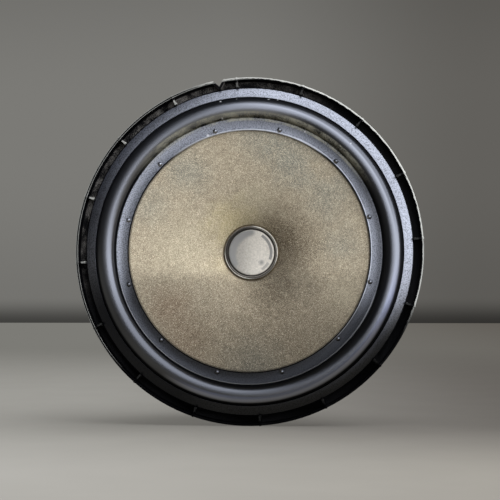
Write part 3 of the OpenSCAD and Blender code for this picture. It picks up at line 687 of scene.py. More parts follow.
@dataclass(frozen=True)
class MouldedPlastic(Finish):
    """Black moulded plastic with a fine grain, rubbed edges and dust in its channel; the rim is painted near
    black as shade, and its front edge and rib tops carry painted highlights.
    """

    name: str = "moulded plastic"
    colour: Colour = srgb(22, 22, 24)
    # near-black colour of the painted shade on the rim and in its channel
    channel: Colour = srgb(6, 6, 8)
    rubbed: Colour = srgb(70, 70, 69)
    # colour of the painted highlights on the rim's front edge and the rib tops
    pale: Colour = srgb(196, 196, 190)
    dust: Colour = srgb(128, 124, 120)
    dusty_from: float = 78.3
    dusty_to: float = 82.2
    dusty_depth: float = 9.0
    wall_in: float = 82.0
    wall_out: float = 83.0
    wall_top: float = 9.5
    ribs: float = 16.0
    rib_turn: float = 3.9
    rib_in: float = 78.7
    rib_out: float = 80.4
    rib_top: float = 8.0

    def paint(self, coat: Coat) -> None:
        """Paints the plastic.

        Args:
            coat: The material being built.
        """
        shade, height = coat.grain(0.35)
        radius, front = coat.polar()
        # painted shade: outside the rubber and in front of the seat the plastic turns near black and loses
        # its coat
        painted_shade = (coat.ramp(radius, self.dusty_from - 1.3, self.dusty_from - 0.6)
                * coat.ramp(front, 0.6, 1.6))
        colour = coat.blend(painted_shade, self.colour, self.channel)
        colour = coat.shade(colour, coat.vary(shade, 0.7, 1.3))
        mark = coat.run("ShaderNodeAttribute", "Fac", {}, attribute_name="edge")
        wear = coat.effect(coat.effects.wear, Place=coat.place, Edge=mark, Amount=0.45)[0]
        colour = coat.blend(wear * 0.4, colour, self.rubbed)
        # painted highlights: pale lines along the rim's front edge and on the rib tops
        lines = self.rim_lines(coat, radius) * coat.band(front, self.wall_top - 0.3, 10, 0.25)
        colour = coat.blend(lines | self.rib_tops(coat, radius, front), colour, self.pale)
        channel = (coat.band(radius, self.dusty_from + 0.9, self.dusty_to - 0.7, 0.5)
                   * coat.band(front, 0, self.dusty_depth, 0.4))
        amount = channel * coat.sector(128, 44, 30) * coat.dust(0.62) | coat.dust(0.2) * 0.02
        coat.set(
            Base_Color=coat.blend(amount, colour, self.dust),
            Roughness=coat.ramp(amount, 0, 0.6, self.roughness, 0.85),
            Specular_IOR_Level=0.04, Coat_Weight=0.6 - (painted_shade | amount) * 0.6, Coat_Roughness=0.4,
            Normal=coat.bump(height, 0.012, 0.6))

    def rim_lines(self, coat: Coat, radius: Wire) -> Wire:
        """Mask of the painted highlight lines along the rim's front edge.

        Args:
            coat: The material being built.
            radius: Distance from the axis.

        Returns:
            The mask: one broad ragged line at the top and right, two thin ones at the left.
        """
        ragged = (coat.noise(coat.place, 3, 3, 0.6) - 0.5) * 1.1 + radius
        broad = coat.band(ragged, self.wall_out - 0.55, self.wall_out + 2, 0.12)
        outer = coat.band(radius, self.wall_out - 0.22, self.wall_out + 0.3, 0.06)
        inner = coat.band(radius, self.wall_in - 0.1, self.wall_in + 0.16, 0.06)
        return (broad * coat.sector(42, 58, 14) * (coat.sector(44, 22, 20) * 0.25 + 0.72)
                | (outer | inner) * coat.sector(155, 58, 12) * 0.4)

    def rib_tops(self, coat: Coat, radius: Wire, front: Wire) -> Wire:
        """Mask of the painted highlights on the tops of the channel's ribs.

        Args:
            coat: The material being built.
            radius: Distance from the axis.
            front: Front height.

        Returns:
            The mask: strong at the upper left, faint elsewhere.
        """
        x, _, z = coat.axes(coat.place)
        phase = (coat.maths("ARCTAN2", z, x) - math.radians(self.rib_turn)) * self.ribs
        near = coat.ramp(coat.maths("COSINE", phase), 0.972, 0.992)
        tops = (coat.band(radius, self.rib_in, self.rib_out, 0.5)
                * coat.ramp(front, self.rib_top - 1.2, self.rib_top - 0.4))
        return near * tops * (coat.sector(142, 34, 20) * 0.5 + 0.04)


@dataclass(frozen=True)
class SatinRubber(Finish):
    """Blue-black satin rubber, grainy on its flanges, with dust in its inner groove, and with painted shade,
    painted highlights and a painted floor reflection.
    """

    name: str = "satin rubber"
    colour: Colour = srgb(10, 10, 12)
    roughness: float = 0.34
    bloom: Colour = srgb(120, 126, 146)
    # colour of the painted floor reflection on the roll's lower shoulder
    floor_reflection: Colour = srgb(150, 156, 180)
    dust: Colour = srgb(170, 164, 140)
    speck: Colour = srgb(214, 210, 200)
    glint: Colour = srgb(200, 198, 192)
    shadow: Colour = (0.001, 0.001, 0.001)
    roll_in: float = 64.1
    roll_out: float = 73.3
    shoulder: float = 69.6
    lip_in: float = 57.8
    lip_front: float = 8.1
    specks: tuple[tuple[float, float, float], ...] = (
        (9.8, 72.4, 0.45), (-13.2, 71.4, 0.4), (-12.4, 63.3, 0.4), (27.0, 56.7, 0.35),
        (48.9, 50.5, 0.28), (-19.5, 55.4, 0.6), (14.0, 72.3, 0.35), (-5.5, 72.6, 0.3),
    )

    def paint(self, coat: Coat) -> None:
        """Paints the rubber.

        Args:
            coat: The material being built.
        """
        shade, height = coat.grain(0.5)
        radius, front = coat.polar()
        nub = (coat.ramp(front, self.lip_front + 0.02, self.lip_front + 0.12)
               * coat.ramp(radius, self.roll_in - 2, self.roll_in - 1, 1, 0))
        flat = 1 - (coat.band(radius, self.roll_in - 0.2, self.roll_out + 0.1, 0.25) | nub)
        # painted shade: the sheen is lowered by sector round the axis, most along the bottom
        painted_sheen = self.painted_sheen(coat, radius) | nub * 0.4
        # the pale bloom on the flanges follows the sheen share, so it is also painted shade, fainter where
        # the sheen is lowered
        film = (coat.ramp(shade, 0.42, 0.72) * flat * 0.22
                + coat.ramp(coat.noise(coat.place, 9, 4, 0.6), 0.4, 0.8, 0, 0.03))
        colour = coat.blend(film * painted_sheen, self.colour, self.bloom)
        # painted reflection of the pale floor on the roll's outer shoulder at the lower right
        floor_reflection_mask = (coat.band(radius, self.shoulder + 0.3, self.shoulder + 1.5, 1.3)
                 * coat.sector(298, 38, 26))
        colour = coat.blend(floor_reflection_mask * 0.8, colour, self.floor_reflection)
        # painted shade in the grooves beside the roll, and the dark seam at the paper's edge
        deep = self.grooves(coat, radius)
        colour = coat.blend(deep * 0.9, colour, self.shadow)
        # painted highlight lines along the inner flange
        colour = coat.blend(self.lip_lines(coat, radius) * 0.6, colour, self.glint)
        settled = (coat.band(radius, self.roll_in - 1.2, self.roll_in + 1.9, 0.8)
                   * coat.sector(86, 36, 26) * coat.dust(0.72))
        amount = settled * 0.8 | coat.dust(0.15) * 0.08
        colour = coat.blend(amount, colour, self.dust)
        for across, up, size in self.specks:
            colour = coat.blend(coat.stain(across, up, size * 1.6, size), colour, self.speck)
        gloss = 1 - flat * coat.ramp(shade, 0.34, 0.58, 0.55, 0)
        coat.set(
            Base_Color=colour,
            Roughness=coat.maths("ADD", amount * 0.4, deep * 0.6 + self.roughness, clamp=True),
            Specular_IOR_Level=0.2, Coat_Weight=gloss * (1 - (amount | deep)) * painted_sheen,
            Coat_Roughness=0.33, Coat_IOR=3.2,
            Normal=coat.bump(height * (flat * 0.97 + 0.03), 0.05, 0.9))

    def grooves(self, coat: Coat, radius: Wire) -> Wire:
        """Mask of the painted shade in the grooves, and of the dark seam.

        Args:
            coat: The material being built.
            radius: Distance from the axis.

        Returns:
            The mask: painted shade on both sides of the roll, wider at the right, and the seam between
                rubber and paper.
        """
        seam = (coat.band(radius, self.lip_in - 0.5, self.lip_in + 0.35, 0.1)
                * coat.sector(-90, 142, 12))
        end = coat.sector(-10, 78, 40) * 2.4 + (self.roll_in + 0.5)
        inner = (coat.ramp(radius, self.roll_in - 0.7, self.roll_in - 0.5)
                 * coat.ramp(radius, self.roll_in + 0.3, end, 1, 0))
        outer = (coat.ramp(radius, self.roll_out - 1.9, self.roll_out - 0.5)
                 * coat.ramp(radius, self.roll_out + 0.4, self.roll_out + 0.5, 1, 0))
        return inner | outer | seam

    def lip_lines(self, coat: Coat, radius: Wire) -> Wire:
        """Mask of the painted highlight lines along the inner flange.

        Args:
            coat: The material being built.
            radius: Distance from the axis.

        Returns:
            The mask: two lines on the inner lip, at the top and right, and an outer one below.
        """
        top, right, below = (
            coat.band(radius, low, high, fade) * coat.sector(*where)
            for low, high, fade, where in (
                (self.lip_in, self.lip_in + 0.6, 0.12, (90, 32, 10)),
                (self.lip_in + 0.62, self.lip_in + 0.85, 0.1, (10, 50, 14)),
                (self.roll_in - 0.8, self.roll_in - 0.3, 0.15, (266, 66, 14))))
        return top | right | below

    def painted_sheen(self, coat: Coat, radius: Wire) -> Wire:
        """Share of the rubber's sheen, lowered by sector as painted shade, most along the bottom, and raised
        on the lower right shoulder as a painted highlight.

        Args:
            coat: The material being built.
            radius: Distance from the axis.

        Returns:
            The share.
        """
        def dulled(*marks: tuple[float, Wire]) -> Wire:
            """Lowers the sheen by several painted shade marks.

            Args:
                marks: Each mark's own share, and the mark.

            Returns:
                What they leave over.
            """
            left: Value = 1.0
            for share, mark in marks:
                left = (1 - mark * share) * left
            return left

        low = coat.sector(265, 60, 26)
        outside = coat.ramp(radius, self.shoulder - 1.3, self.shoulder + 0.2)
        after = coat.ramp(radius, self.shoulder, self.shoulder + 1)
        before = coat.ramp(radius, self.roll_in + 2.2, self.roll_in + 6.4, 1, 0)
        inner = dulled((0.38, coat.sector(-5, 88, 46)), (0.38, coat.sector(42, 12, 18)),
                       (0.84, low))
        roll = dulled((0.28, coat.sector(180, 60, 40)), (0.1, coat.sector(0, 50, 30)),
                      (0.92, before * coat.sector(15, 45, 25)),
                      (0.4, outside * coat.sector(160, 45, 25)),
                      (0.6, after * coat.sector(62, 38, 28)), (0.5, coat.sector(262, 50, 30)))
        roll = roll * 0.8 | after * coat.sector(288, 38, 24)
        outer = dulled((0.45, coat.sector(185, 20, 30)), (0.88, low),
                       (0.7, coat.sector(222, 18, 22)), (0.16, coat.sector(45, 20, 20)))
        share = coat.ramp(radius, self.roll_in - 0.5, self.roll_in + 0.1)
        level = (roll - inner) * share + inner
        share = coat.ramp(radius, self.roll_out - 0.1, self.roll_out + 0.4)
        return (outer - level) * share + level


@dataclass(frozen=True)
class StainAndShade:
    """One blotch on the paper, placed across and up from the axis; some are stains and some are painted
    shade.
    """

    across: float
    up: float
    size: float
    colour: Colour
    strength: float


GREEN_GREY = srgb(118, 124, 118)
WARM_BROWN = srgb(122, 92, 68)
BROWN_STAIN_AND_SHADE = srgb(96, 80, 60)
CREAM = srgb(206, 196, 166)
YELLOWED = srgb(206, 190, 140)

# blotches on the cone: stains, and painted shade in the neck
CONE_STAINS_AND_SHADE = (
    StainAndShade(-30, 39, 17, GREEN_GREY, 0.6),
    StainAndShade(20, 44, 20, GREEN_GREY, 0.75),
    StainAndShade(38, 27, 20, GREEN_GREY, 0.6),
    StainAndShade(6, 56, 20, GREEN_GREY, 0.55),
    StainAndShade(-48, 22, 16, GREEN_GREY, 0.45),
    StainAndShade(44, 2, 15, GREEN_GREY, 0.5),
    StainAndShade(2, -54, 22, GREEN_GREY, 0.7),
    StainAndShade(2, 23, 15, CREAM, 0.4),
    # painted shade inside the neck, right of and below the cap
    StainAndShade(10, -17, 20, BROWN_STAIN_AND_SHADE, 0.5),
    StainAndShade(-32, 2, 28, CREAM, 0.3),
    StainAndShade(-9, 14, 18, YELLOWED, 0.6),
    StainAndShade(-14, -6, 10, YELLOWED, 0.2),
    StainAndShade(-38, -26, 16, WARM_BROWN, 0.6),
    StainAndShade(-30, -42, 18, WARM_BROWN, 0.55),
    # two large brown blotches low down make the cone browner and darker towards the bottom
    StainAndShade(18, -32, 34, BROWN_STAIN_AND_SHADE, 0.4),
    StainAndShade(-6, -44, 34, BROWN_STAIN_AND_SHADE, 0.3),
    # painted shade inside the neck, right of the cap
    StainAndShade(19, 5, 22, BROWN_STAIN_AND_SHADE, 0.9),
    StainAndShade(46, -20, 14, CREAM, 0.3),
)


@dataclass(frozen=True)
class PulpPaper(Finish):
    """Felted paper with matted fibres, faded and stained; for the cone, painted shade darkens it towards the
    bottom and inside the neck.
    """

    name: str = "pulp paper"
    colour: Colour = srgb(161, 148, 126)
    roughness: float = 0.88
    fibre: Colour = srgb(226, 213, 186)
    gap: Colour = srgb(106, 95, 77)
    seam: Colour = srgb(52, 46, 38)
    edge_r: float = 57.8
    stains_and_shade: tuple[StainAndShade, ...] = ()
    # strength of the painted shade towards the bottom, and the heights where it sets in
    lower_shade: float = 0.0
    lower_shade_heights: tuple[float, float] = (-5.0, -17.0)

    def paint(self, coat: Coat) -> None:
        """Paints the paper.

        Args:
            coat: The material being built.
        """
        shade, height = coat.effect(coat.effects.fibre, Place=coat.place, Size=1.05)
        cloud = coat.noise(coat.place, 5, 4, 0.65)
        base = coat.shade(self.colour, coat.vary(cloud, 0.9, 1.08))
        for stain in self.stains_and_shade:
            mask = coat.stain(stain.across, stain.up, stain.size, stain.size * 0.9)
            base = coat.blend(mask * stain.strength, base, stain.colour)
        colour = coat.blend(coat.ramp(shade, 0.45, 0.9), base, self.fibre)
        colour = coat.blend(coat.ramp(shade, 0, 0.3, 0.6, 0), colour, self.gap)
        # painted shade: darker towards the bottom, and inside the neck right of and below the cap
        if self.lower_shade:
            level = coat.axes(coat.place)[2] * (1 / MM) + (cloud * 8 - 4)
            below = coat.ramp(level, *self.lower_shade_heights)
            neck = coat.stain(14, -10, 26, 5)
            colour = coat.shade(colour, (1 - below * self.lower_shade) * (1 - neck * 0.42))
        edge = (coat.band(coat.polar()[0], self.edge_r - 0.45, self.edge_r, 0.25)
                * coat.sector(-90, 146, 12))
        normal = coat.bump(height, 0.05, 0.7)
        coat.set(
            Base_Color=coat.blend(edge * 0.6, colour, self.seam), Specular_IOR_Level=0.3,
            Normal=coat.bump(coat.noise(coat.place, 0.35, 2, 0.6), 0.03, 0.5, normal))


@dataclass(frozen=True)
class CapMetal(Finish):
    """Satin metal of the cap, painted darker to the left, with painted grey reflections near the disc's
    edge, painted shade in its groove and a dark seam outside its bead.
    """

    name: str = "cap metal"
    colour: Colour = srgb(192, 186, 175)
    grey_reflection_and_spot: Colour = srgb(118, 117, 115)
    dark_seam_and_shade: Colour = srgb(34, 29, 24)
    rolled: Colour = srgb(92, 87, 80)
    edge_r: float = 11.31
    groove_out: float = 11.93
    groove_front: float = -12.5
    bead_mid: float = 12.21

    def paint(self, coat: Coat) -> None:
        """Paints the cap.

        Args:
            coat: The material being built.
        """
        radius, front = coat.polar()
        mottle = coat.noise(coat.place, 0.9, 4, 0.6, 0.8)
        # painted shade: the disc is darker to the left and lighter to the right
        painted_side_shade = coat.ramp(coat.axes(coat.place)[0], -9 * MM, 7 * MM, 0.5, 1.16)
        base = coat.shade(self.colour, coat.vary(mottle, 0.8, 1.12) * painted_side_shade)
        # painted reflections: grey crescents near the disc's edge; the same grey makes a small spot at the
        # lower right
        colour = coat.blend(self.grey_reflections(coat, radius), base, self.grey_reflection_and_spot)
        colour = coat.blend(coat.stain(5, -4.9, 2.1, 0.4) * 0.8, colour, self.grey_reflection_and_spot)
        # painted shade in the groove, broad at the upper left, and a dark seam outside the bead
        groove = (coat.ramp(front, self.groove_front - 0.1, self.groove_front + 0.25, 1, 0)
                  * coat.band(radius, self.edge_r - 0.02, self.groove_out, 0.06))
        deep = (coat.band(radius, self.edge_r - 0.1, self.bead_mid + 0.1, 0.1)
                * coat.sector(150, 42, 30))
        seam = coat.ramp(radius, self.bead_mid + 0.22, self.bead_mid + 0.34)
        dark_seam_and_shade = groove | deep | seam
        bead = coat.ramp(radius, self.groove_out - 0.1, self.groove_out, 0, 0.92)
        colour = coat.blend(bead, colour, self.rolled)
        coat.set(
            Base_Color=coat.blend(dark_seam_and_shade * 0.95, colour, self.dark_seam_and_shade),
            Metallic=(1 - dark_seam_and_shade) * 0.3, Roughness=dark_seam_and_shade * 0.3 + coat.vary(mottle, 0.42, 0.58),
            Normal=coat.bump(mottle, 0.02, 0.6))

    def grey_reflections(self, coat: Coat, radius: Wire) -> Wire:
        """Mask of the painted grey reflections near the disc's edge.

        Args:
            coat: The material being built.
            radius: Distance from the axis.

        Returns:
            The mask: a broad crescent at the left and top, and two narrow ones at the right.
        """
        bright = coat.stain(2.1, -1.2, 11.4, 1)
        left = (coat.band(radius, -1, self.edge_r - 0.45, 0.15)
                * coat.ramp(bright, 0, 0.12, 1, 0) * coat.sector(152, 62, 18))
        sides = coat.sector(19, 38, 3) | coat.sector(-45, 12, 3) * 0.6
        return left * 0.9 | coat.band(radius, 9.15, 10.4, 0.12) * sides * 0.85


@dataclass(frozen=True)
class BareMetal(Finish):
    """Plain or plated metal with tool marks."""

    roughness: float = 0.38
    metallic: float = 1.0
    tarnish: Colour = srgb(84, 72, 58)
    brushing: Brushing = Brushing.PLAIN
    line: float = 0.12

    def paint(self, coat: Coat) -> None:
        """Paints the metal.

        Args:
            coat: The material being built.
        """
        cloud = coat.noise(coat.place, 4, 4, 0.6)
        colour = coat.shade(self.colour, coat.vary(cloud, 0.92, 1.04))
        coat.set(
            Base_Color=coat.blend(coat.dust(0.3) * 0.16, colour, self.tarnish),
            Roughness=coat.vary(cloud, self.roughness - 0.03, self.roughness + 0.06),
            Normal=coat.bump(self.marks(coat), 0.006, 0.5))

    def marks(self, coat: Coat) -> Wire:
        """Height pattern of the tool marks.

        Args:
            coat: The material being built.

        Returns:
            The pattern.
        """
        if self.brushing is Brushing.PLAIN:
            return coat.noise(coat.place, 0.4, 3, 0.6)
        if self.brushing is Brushing.DRAWN:
            lines = coat.run("ShaderNodeMapping", "Vector",
                             {"Vector": coat.place, "Scale": (1.0, 0.04, 1.0)})
        else:
            radius, front = coat.polar()
            lines = coat.run("ShaderNodeCombineXYZ", "Vector", {"X": radius * MM, "Y": front * MM})
        return coat.noise(lines, self.line, 2, 0.6)


@dataclass(frozen=True)
class FormerFoil(Finish):
    """Aluminium foil of the coil former, whose cut edge is painted dark as shade except for painted
    highlights on two sides.
    """

    name: str = "former foil"
    colour: Colour = srgb(226, 222, 210)
    roughness: float = 0.34
    metallic: float = 0.9
    painted_shade: Colour = srgb(112, 108, 102)
    edge_front: float = -12.4

    def paint(self, coat: Coat) -> None:
        """Paints the foil.

        Args:
            coat: The material being built.
        """
        cloud = coat.noise(coat.place, 1.1, 3, 0.6)
        # painted highlights at two sides of the cut edge; elsewhere the edge is painted dark as shade
        glint = coat.sector(30, 42, 22) | coat.sector(225, 30, 22)
        edge = coat.ramp(coat.polar()[1], self.edge_front - 1, self.edge_front)
        colour = coat.blend(edge * (1 - glint), self.colour, self.painted_shade)
        coat.set(Base_Color=coat.shade(colour, coat.vary(cloud, 0.75, 1.1)),
                 Roughness=coat.vary(cloud, 0.28, 0.42), Normal=coat.bump(cloud, 0.01, 0.4))


@dataclass(frozen=True)
class SinteredFerrite(Finish):
    """Ground grey-black ferrite with chipped edges and pits."""

    name: str = "sintered ferrite"
    colour: Colour = srgb(66, 66, 68)
    roughness: float = 0.62
    pit: Colour = srgb(34, 33, 33)

    def paint(self, coat: Coat) -> None:
        """Paints the ferrite.

        Args:
            coat: The material being built.
        """
        shade, height = coat.grain(0.5)
        cloud = coat.noise(coat.place, 8, 5, 0.6)
        colour = coat.shade(self.colour, coat.vary(cloud, 0.8, 1.2))
        coat.set(Base_Color=coat.blend(coat.ramp(shade, 0.62, 0.7, 0, 0.5), colour, self.pit),
                 Roughness=coat.vary(cloud, 0.5, 0.72), Normal=coat.bump(height, 0.03, 0.6))


@dataclass(frozen=True)
class ClosedFoam(Finish):
    """Charcoal closed-cell foam."""

    name: str = "closed foam"
    colour: Colour = srgb(48, 48, 52)
    roughness: float = 0.9
    cell: float = 0.45

    def paint(self, coat: Coat) -> None:
        """Paints the foam.

        Args:
            coat: The material being built.
        """
        cells = coat.run("ShaderNodeTexVoronoi", "Distance",
                         {"Vector": coat.place, "Scale": 1 / (self.cell * MM)}, feature="F1")
        depth = coat.ramp(cells, 0, 0.5)
        coat.set(Base_Color=coat.shade(self.colour, depth * 0.6 + 0.6),
                 Normal=coat.bump(depth, 0.08, 0.8))


@dataclass(frozen=True)
class WovenCloth(Finish):
    """Amber resin-treated cloth in a square weave."""

    name: str = "woven cloth"
    colour: Colour = srgb(196, 152, 84)
    roughness: float = 0.6
    resin: Colour = srgb(150, 106, 52)
    thread: float = 0.55

    def paint(self, coat: Coat) -> None:
        """Paints the cloth.

        Args:
            coat: The material being built.
        """
        x, _, z = coat.axes(coat.place)
        warp, weft = (coat.maths("SINE", side * (math.tau / (self.thread * MM)))
                      for side in (x, z))
        height = coat.ramp(warp * weft, -0.8, 0.8)
        cloud = coat.noise(coat.place, 4, 3, 0.6)
        colour = coat.shade(self.colour, height * 0.45 + 0.62)
        coat.set(Base_Color=coat.blend(coat.ramp(cloud, 0.45, 0.75, 0, 0.35), colour, self.resin),
                 Coat_Weight=coat.vary(cloud, 0.1, 0.35), Coat_Roughness=0.35,
                 Normal=coat.bump(height, 0.06, 0.7))


@dataclass(frozen=True)
class WireLacquer(Finish):
    """Enamelled copper wire."""

    name: str = "wire lacquer"
    colour: Colour = srgb(188, 104, 58)
    roughness: float = 0.3
    metallic: float = 0.85

    def paint(self, coat: Coat) -> None:
        """Paints the wire.

        Args:
            coat: The material being built.
        """
        cloud = coat.noise(coat.place, 2.5, 3, 0.6)
        coat.set(Base_Color=coat.shade(self.colour, coat.vary(cloud, 0.8, 1.1)),
                 Roughness=coat.vary(cloud, 0.24, 0.4), Coat_Weight=0.4,
                 Normal=coat.bump(cloud, 0.01, 0.4))


@dataclass(frozen=True)
class CopperBraid(Finish):
    """Flat copper threads braided round a textile core."""

    name: str = "copper braid"
    colour: Colour = srgb(196, 132, 84)
    roughness: float = 0.34
    metallic: float = 0.9
    gap: Colour = srgb(92, 60, 40)
    strands: float = 6.0
    lay: float = 1.6

    def paint(self, coat: Coat) -> None:
        """Paints the braid.

        Args:
            coat: The material being built.
        """
        along, around, _ = coat.axes(coat.run("ShaderNodeUVMap", "UV", {}, uv_map="along"))
        along = along * (math.pi / (self.lay * MM))
        around = around * (math.pi * self.strands)
        over, under = coat.maths("SINE", along + around), coat.maths("SINE", along - around)
        weave = coat.ramp(over * under, -0.7, 0.7)
        cloud = coat.noise(coat.place, 1.5, 3, 0.6)
        bright = coat.shade(self.colour, coat.vary(cloud, 0.8, 1.1))
        coat.set(Base_Color=coat.blend(weave, self.gap, bright),
                 Roughness=coat.vary(cloud, 0.28, 0.45), Normal=coat.bump(weave, 0.12, 0.8))


@dataclass(frozen=True)
class HardGlue(Finish):
    """Glossy hardened glue with bubbles and flow marks."""

    roughness: float = 0.35

    def paint(self, coat: Coat) -> None:
        """Paints the glue.

        Args:
            coat: The material being built.
        """
        flow = coat.noise(coat.place, 1.6, 3, 0.6, 1)
        coat.set(Base_Color=coat.shade(self.colour, coat.vary(flow, 0.6, 1.5)),
                 Roughness=coat.vary(flow, self.roughness - 0.1, self.roughness + 0.15),
                 Normal=coat.bump(flow, 0.08, 0.8))


def dress(piece: bpy.types.Object, material: bpy.types.Material) -> None:
    """Gives a piece one material in all its slots.

    Args:
        piece: A new piece or a CAD node's object.
        material: The material.
    """
    if not piece.material_slots:
        piece.data.materials.append(material)
    for slot in piece.material_slots:
        slot.link = "OBJECT"
        slot.material = material


def fit(
    piece: bpy.types.Object, node: str, material: bpy.types.Material, body: Body | None = None,
    angle: float = 40
) -> None:
    """Finishes a piece and puts it in its CAD node's place.

    Args:
        piece: The piece, with its final mesh.
        node: Name of the node that it replaces.
        material: The material.
        body: The body that it rides on, or none where it bends between two.
        angle: Edges sharper than this many degrees stay sharp.
    """
    choose(piece)
    bpy.ops.object.shade_smooth_by_angle(angle=math.radians(angle))
    dress(piece, material)
    if body:
        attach(piece, body.value)
    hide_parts(node)
    log.info("%s in place of %s: %d faces", piece.name, node, len(piece.data.polygons))


@dataclass
class Basket:
    """Moulded frame: a copy of the CAD node with rounded edges."""

    node: str = "basket"
    rounding: float = 0.14
    flat_angle: float = 0.5

    def build(self, source: bpy.types.Object, effects: Effects) -> None:
        """Makes and dresses the frame.

        Args:
            source: The CAD node's object.
            effects: The shared effects.
        """
        piece = bpy.data.objects.new("moulded_frame", source.data.copy())
        bpy.context.collection.objects.link(piece)
        with editing(piece):
            bpy.ops.mesh.remove_doubles(threshold=MERGE)
            bpy.ops.mesh.dissolve_limited(angle_limit=math.radians(self.flat_angle))
        bevel(piece, self.rounding)
        self.mark_edges(piece)
        fit(piece, self.node, MouldedPlastic().build(effects), Body.FRAME)

    def mark_edges(self, piece: bpy.types.Object) -> None:
        """Marks the rounded edges for wear.

        Args:
            piece: The frame.
        """
        mark = piece.data.attributes.new("edge", "FLOAT", "FACE")
        narrow = 8 * (self.rounding * MM * 2) ** 2
        for face, value in zip(piece.data.polygons, mark.data):
            value.value = float(face.area < narrow and len(face.vertices) == 4)


@dataclass
class RubberSurround:
    """Rubber edge: outer flange, half roll and inner flange with its nubs."""

    seat: float = 6.5
    flange_out: float = 78.0
    flange_in: float = 73.8
    flange_front: float = 8.1
    flange_fall: float = 0.7
    web: float = 7.2
    roll_mid: float = 68.7
    roll_half: float = 4.6
    roll_height: float = 4.6
    fullness: float = 2.4
    rubber: float = 0.7
    lip_out: float = 63.6
    lip_in: float = 57.8
    lip_front: float = 8.1
    lip_fall: float = 0.35
    upturn: float = 0.18
    bead: float = 0.2
    nub_r: float = 59.6
    nub_radius: float = 1.2
    nub_foot: float = 0.15
    nub_count: int = 12
    nub_turn: float = 15.5
    facets: int = 256

    def outline(self) -> Outline:
        """Section of the rubber.

        Returns:
            Corners from the outer flange's back round to the inner one's and back.
        """
        return [
            (self.flange_out, self.seat),
            (self.flange_out, self.flange_front - self.flange_fall),
            ((self.flange_out + self.flange_in) / 2, self.flange_front - self.flange_fall * 0.6),
            (self.flange_in, self.flange_front),
            (self.flange_in, self.web),
            *arc(self.roll_mid, self.web, self.roll_half, self.roll_height, 0, 180, 40,
                 self.fullness),
            (self.lip_out, self.web),
            (self.lip_out, self.lip_front + self.upturn),
            (self.lip_out - 0.8, self.lip_front),
            *arc(self.lip_in + self.bead, self.lip_front - self.lip_fall + 0.02, self.bead,
                 self.bead, 20, 180, 6),
            (self.lip_in, self.seat),
            *arc(self.roll_mid, self.seat, self.roll_half - self.rubber, self.roll_height,
                 180, 0, 40, self.fullness),
        ]

    def nub(self) -> bpy.types.Object:
        """Models one round nub on the inner flange.

        Returns:
            The nub, at no turn.
        """
        front = self.lip_front - self.lip_fall / 2
        deselect()
        bpy.ops.mesh.primitive_uv_sphere_add(
            segments=20, ring_count=12, radius=self.nub_radius * MM,
            location=(self.nub_r * MM, -front * MM, 0))
        piece = bpy.context.object
        settle(piece)
        with editing(piece):
            bpy.ops.mesh.bisect(
                plane_co=(0, -(front - self.nub_foot) * MM, 0), plane_no=(0, 1, 0),
                clear_outer=True, use_fill=True)
            close_shell()
        return piece

    def ring_of_nubs(self) -> list[bpy.types.Object]:
        """Copies the nub round the inner flange.

        Returns:
            The nubs, each with its place in its mesh.
        """
        first = self.nub()
        nubs = []
        for index in range(self.nub_count):
            choose(first)
            bpy.ops.object.duplicate(linked=False)
            copy = name_piece(bpy.context.object, f"nub_{index}")
            turn = self.nub_turn + index * 360 / self.nub_count
            copy.rotation_euler = (0, -math.radians(turn), 0)
            settle(copy)
            nubs.append(copy)
        bpy.data.objects.remove(first)
        return nubs

    def build(self, effects: Effects) -> bpy.types.Object:
        """Makes and dresses the rubber.

        Args:
            effects: The shared effects.

        Returns:
            The rubber.
        """
        ring = turned("rubber_surround", self.outline(), self.facets)
        bevel(ring, 0.16, 3, 40)
        nubs = self.ring_of_nubs()
        choose(ring)
        for nub in nubs:
            nub.select_set(True)
        bpy.ops.object.join()
        fit(ring, "surround", SatinRubber(lip_in=self.lip_in).build(effects))
        bend_round_axis(ring, self.roll_mid + self.roll_half, self.roll_mid - self.roll_half)
        return ring


@dataclass
class PaperCone:
    """Curved paper cone with its flat flange."""

    seat: float = 6.5
    depth: float = 20.2
    straight: float = 0.55
    power: float = 5.0
    outer: float = 57.8
    neck: float = 13.26
    rim: float = 63.4
    paper: float = 0.8
    steps: int = 32
    crowding: float = 1.3
    facets: int = 256

    def share(self, radius: float) -> float:
        """Share of the way from the outer edge to the neck."""
        return (self.outer - radius) / (self.outer - self.neck)

    def front(self, radius: float) -> float:
        """Front height of the cone at a radius.

        Args:
            radius: Distance from the axis.

        Returns:
            The height in front of the seating plane.
        """
        share = self.share(radius)
        fall = self.straight * share + (1 - self.straight) * share ** self.power
        return self.seat - self.depth * fall

    def back(self, radius: float) -> float:
        """Height of the cone's back at a radius.

        Args:
            radius: Distance from the axis.

        Returns:
            The height in front of the seating plane.
        """
        bent = (1 - self.straight) * self.power * self.share(radius) ** (self.power - 1)
        slope = self.depth / (self.outer - self.neck) * (self.straight + bent)
        return self.front(radius) - self.paper * math.hypot(1, slope)

    def outline(self) -> Outline:
        """Section of the paper.

        Returns:
            Corners from the neck out along the front and back along the back.
        """
        radii = [self.neck + (self.outer - self.neck) * (index / self.steps) ** self.crowding
                 for index in range(self.steps + 1)]
        return [
            *((radius, self.front(radius)) for radius in radii),
            (self.rim, self.seat), (self.rim, self.seat - self.paper),
            *((radius, self.back(radius)) for radius in reversed(radii)),
        ]

    def build(self, effects: Effects) -> None:
        """Makes and dresses the cone.

        Args:
            effects: The shared effects.
        """
        # the cone's paper carries painted shade towards the bottom and in the neck
        paper = PulpPaper(stains_and_shade=CONE_STAINS_AND_SHADE, lower_shade=0.34).build(effects)
        piece = turned("paper_cone", self.outline(), self.facets)
        fit(piece, "cone", paper, Body.DIAPHRAGM)


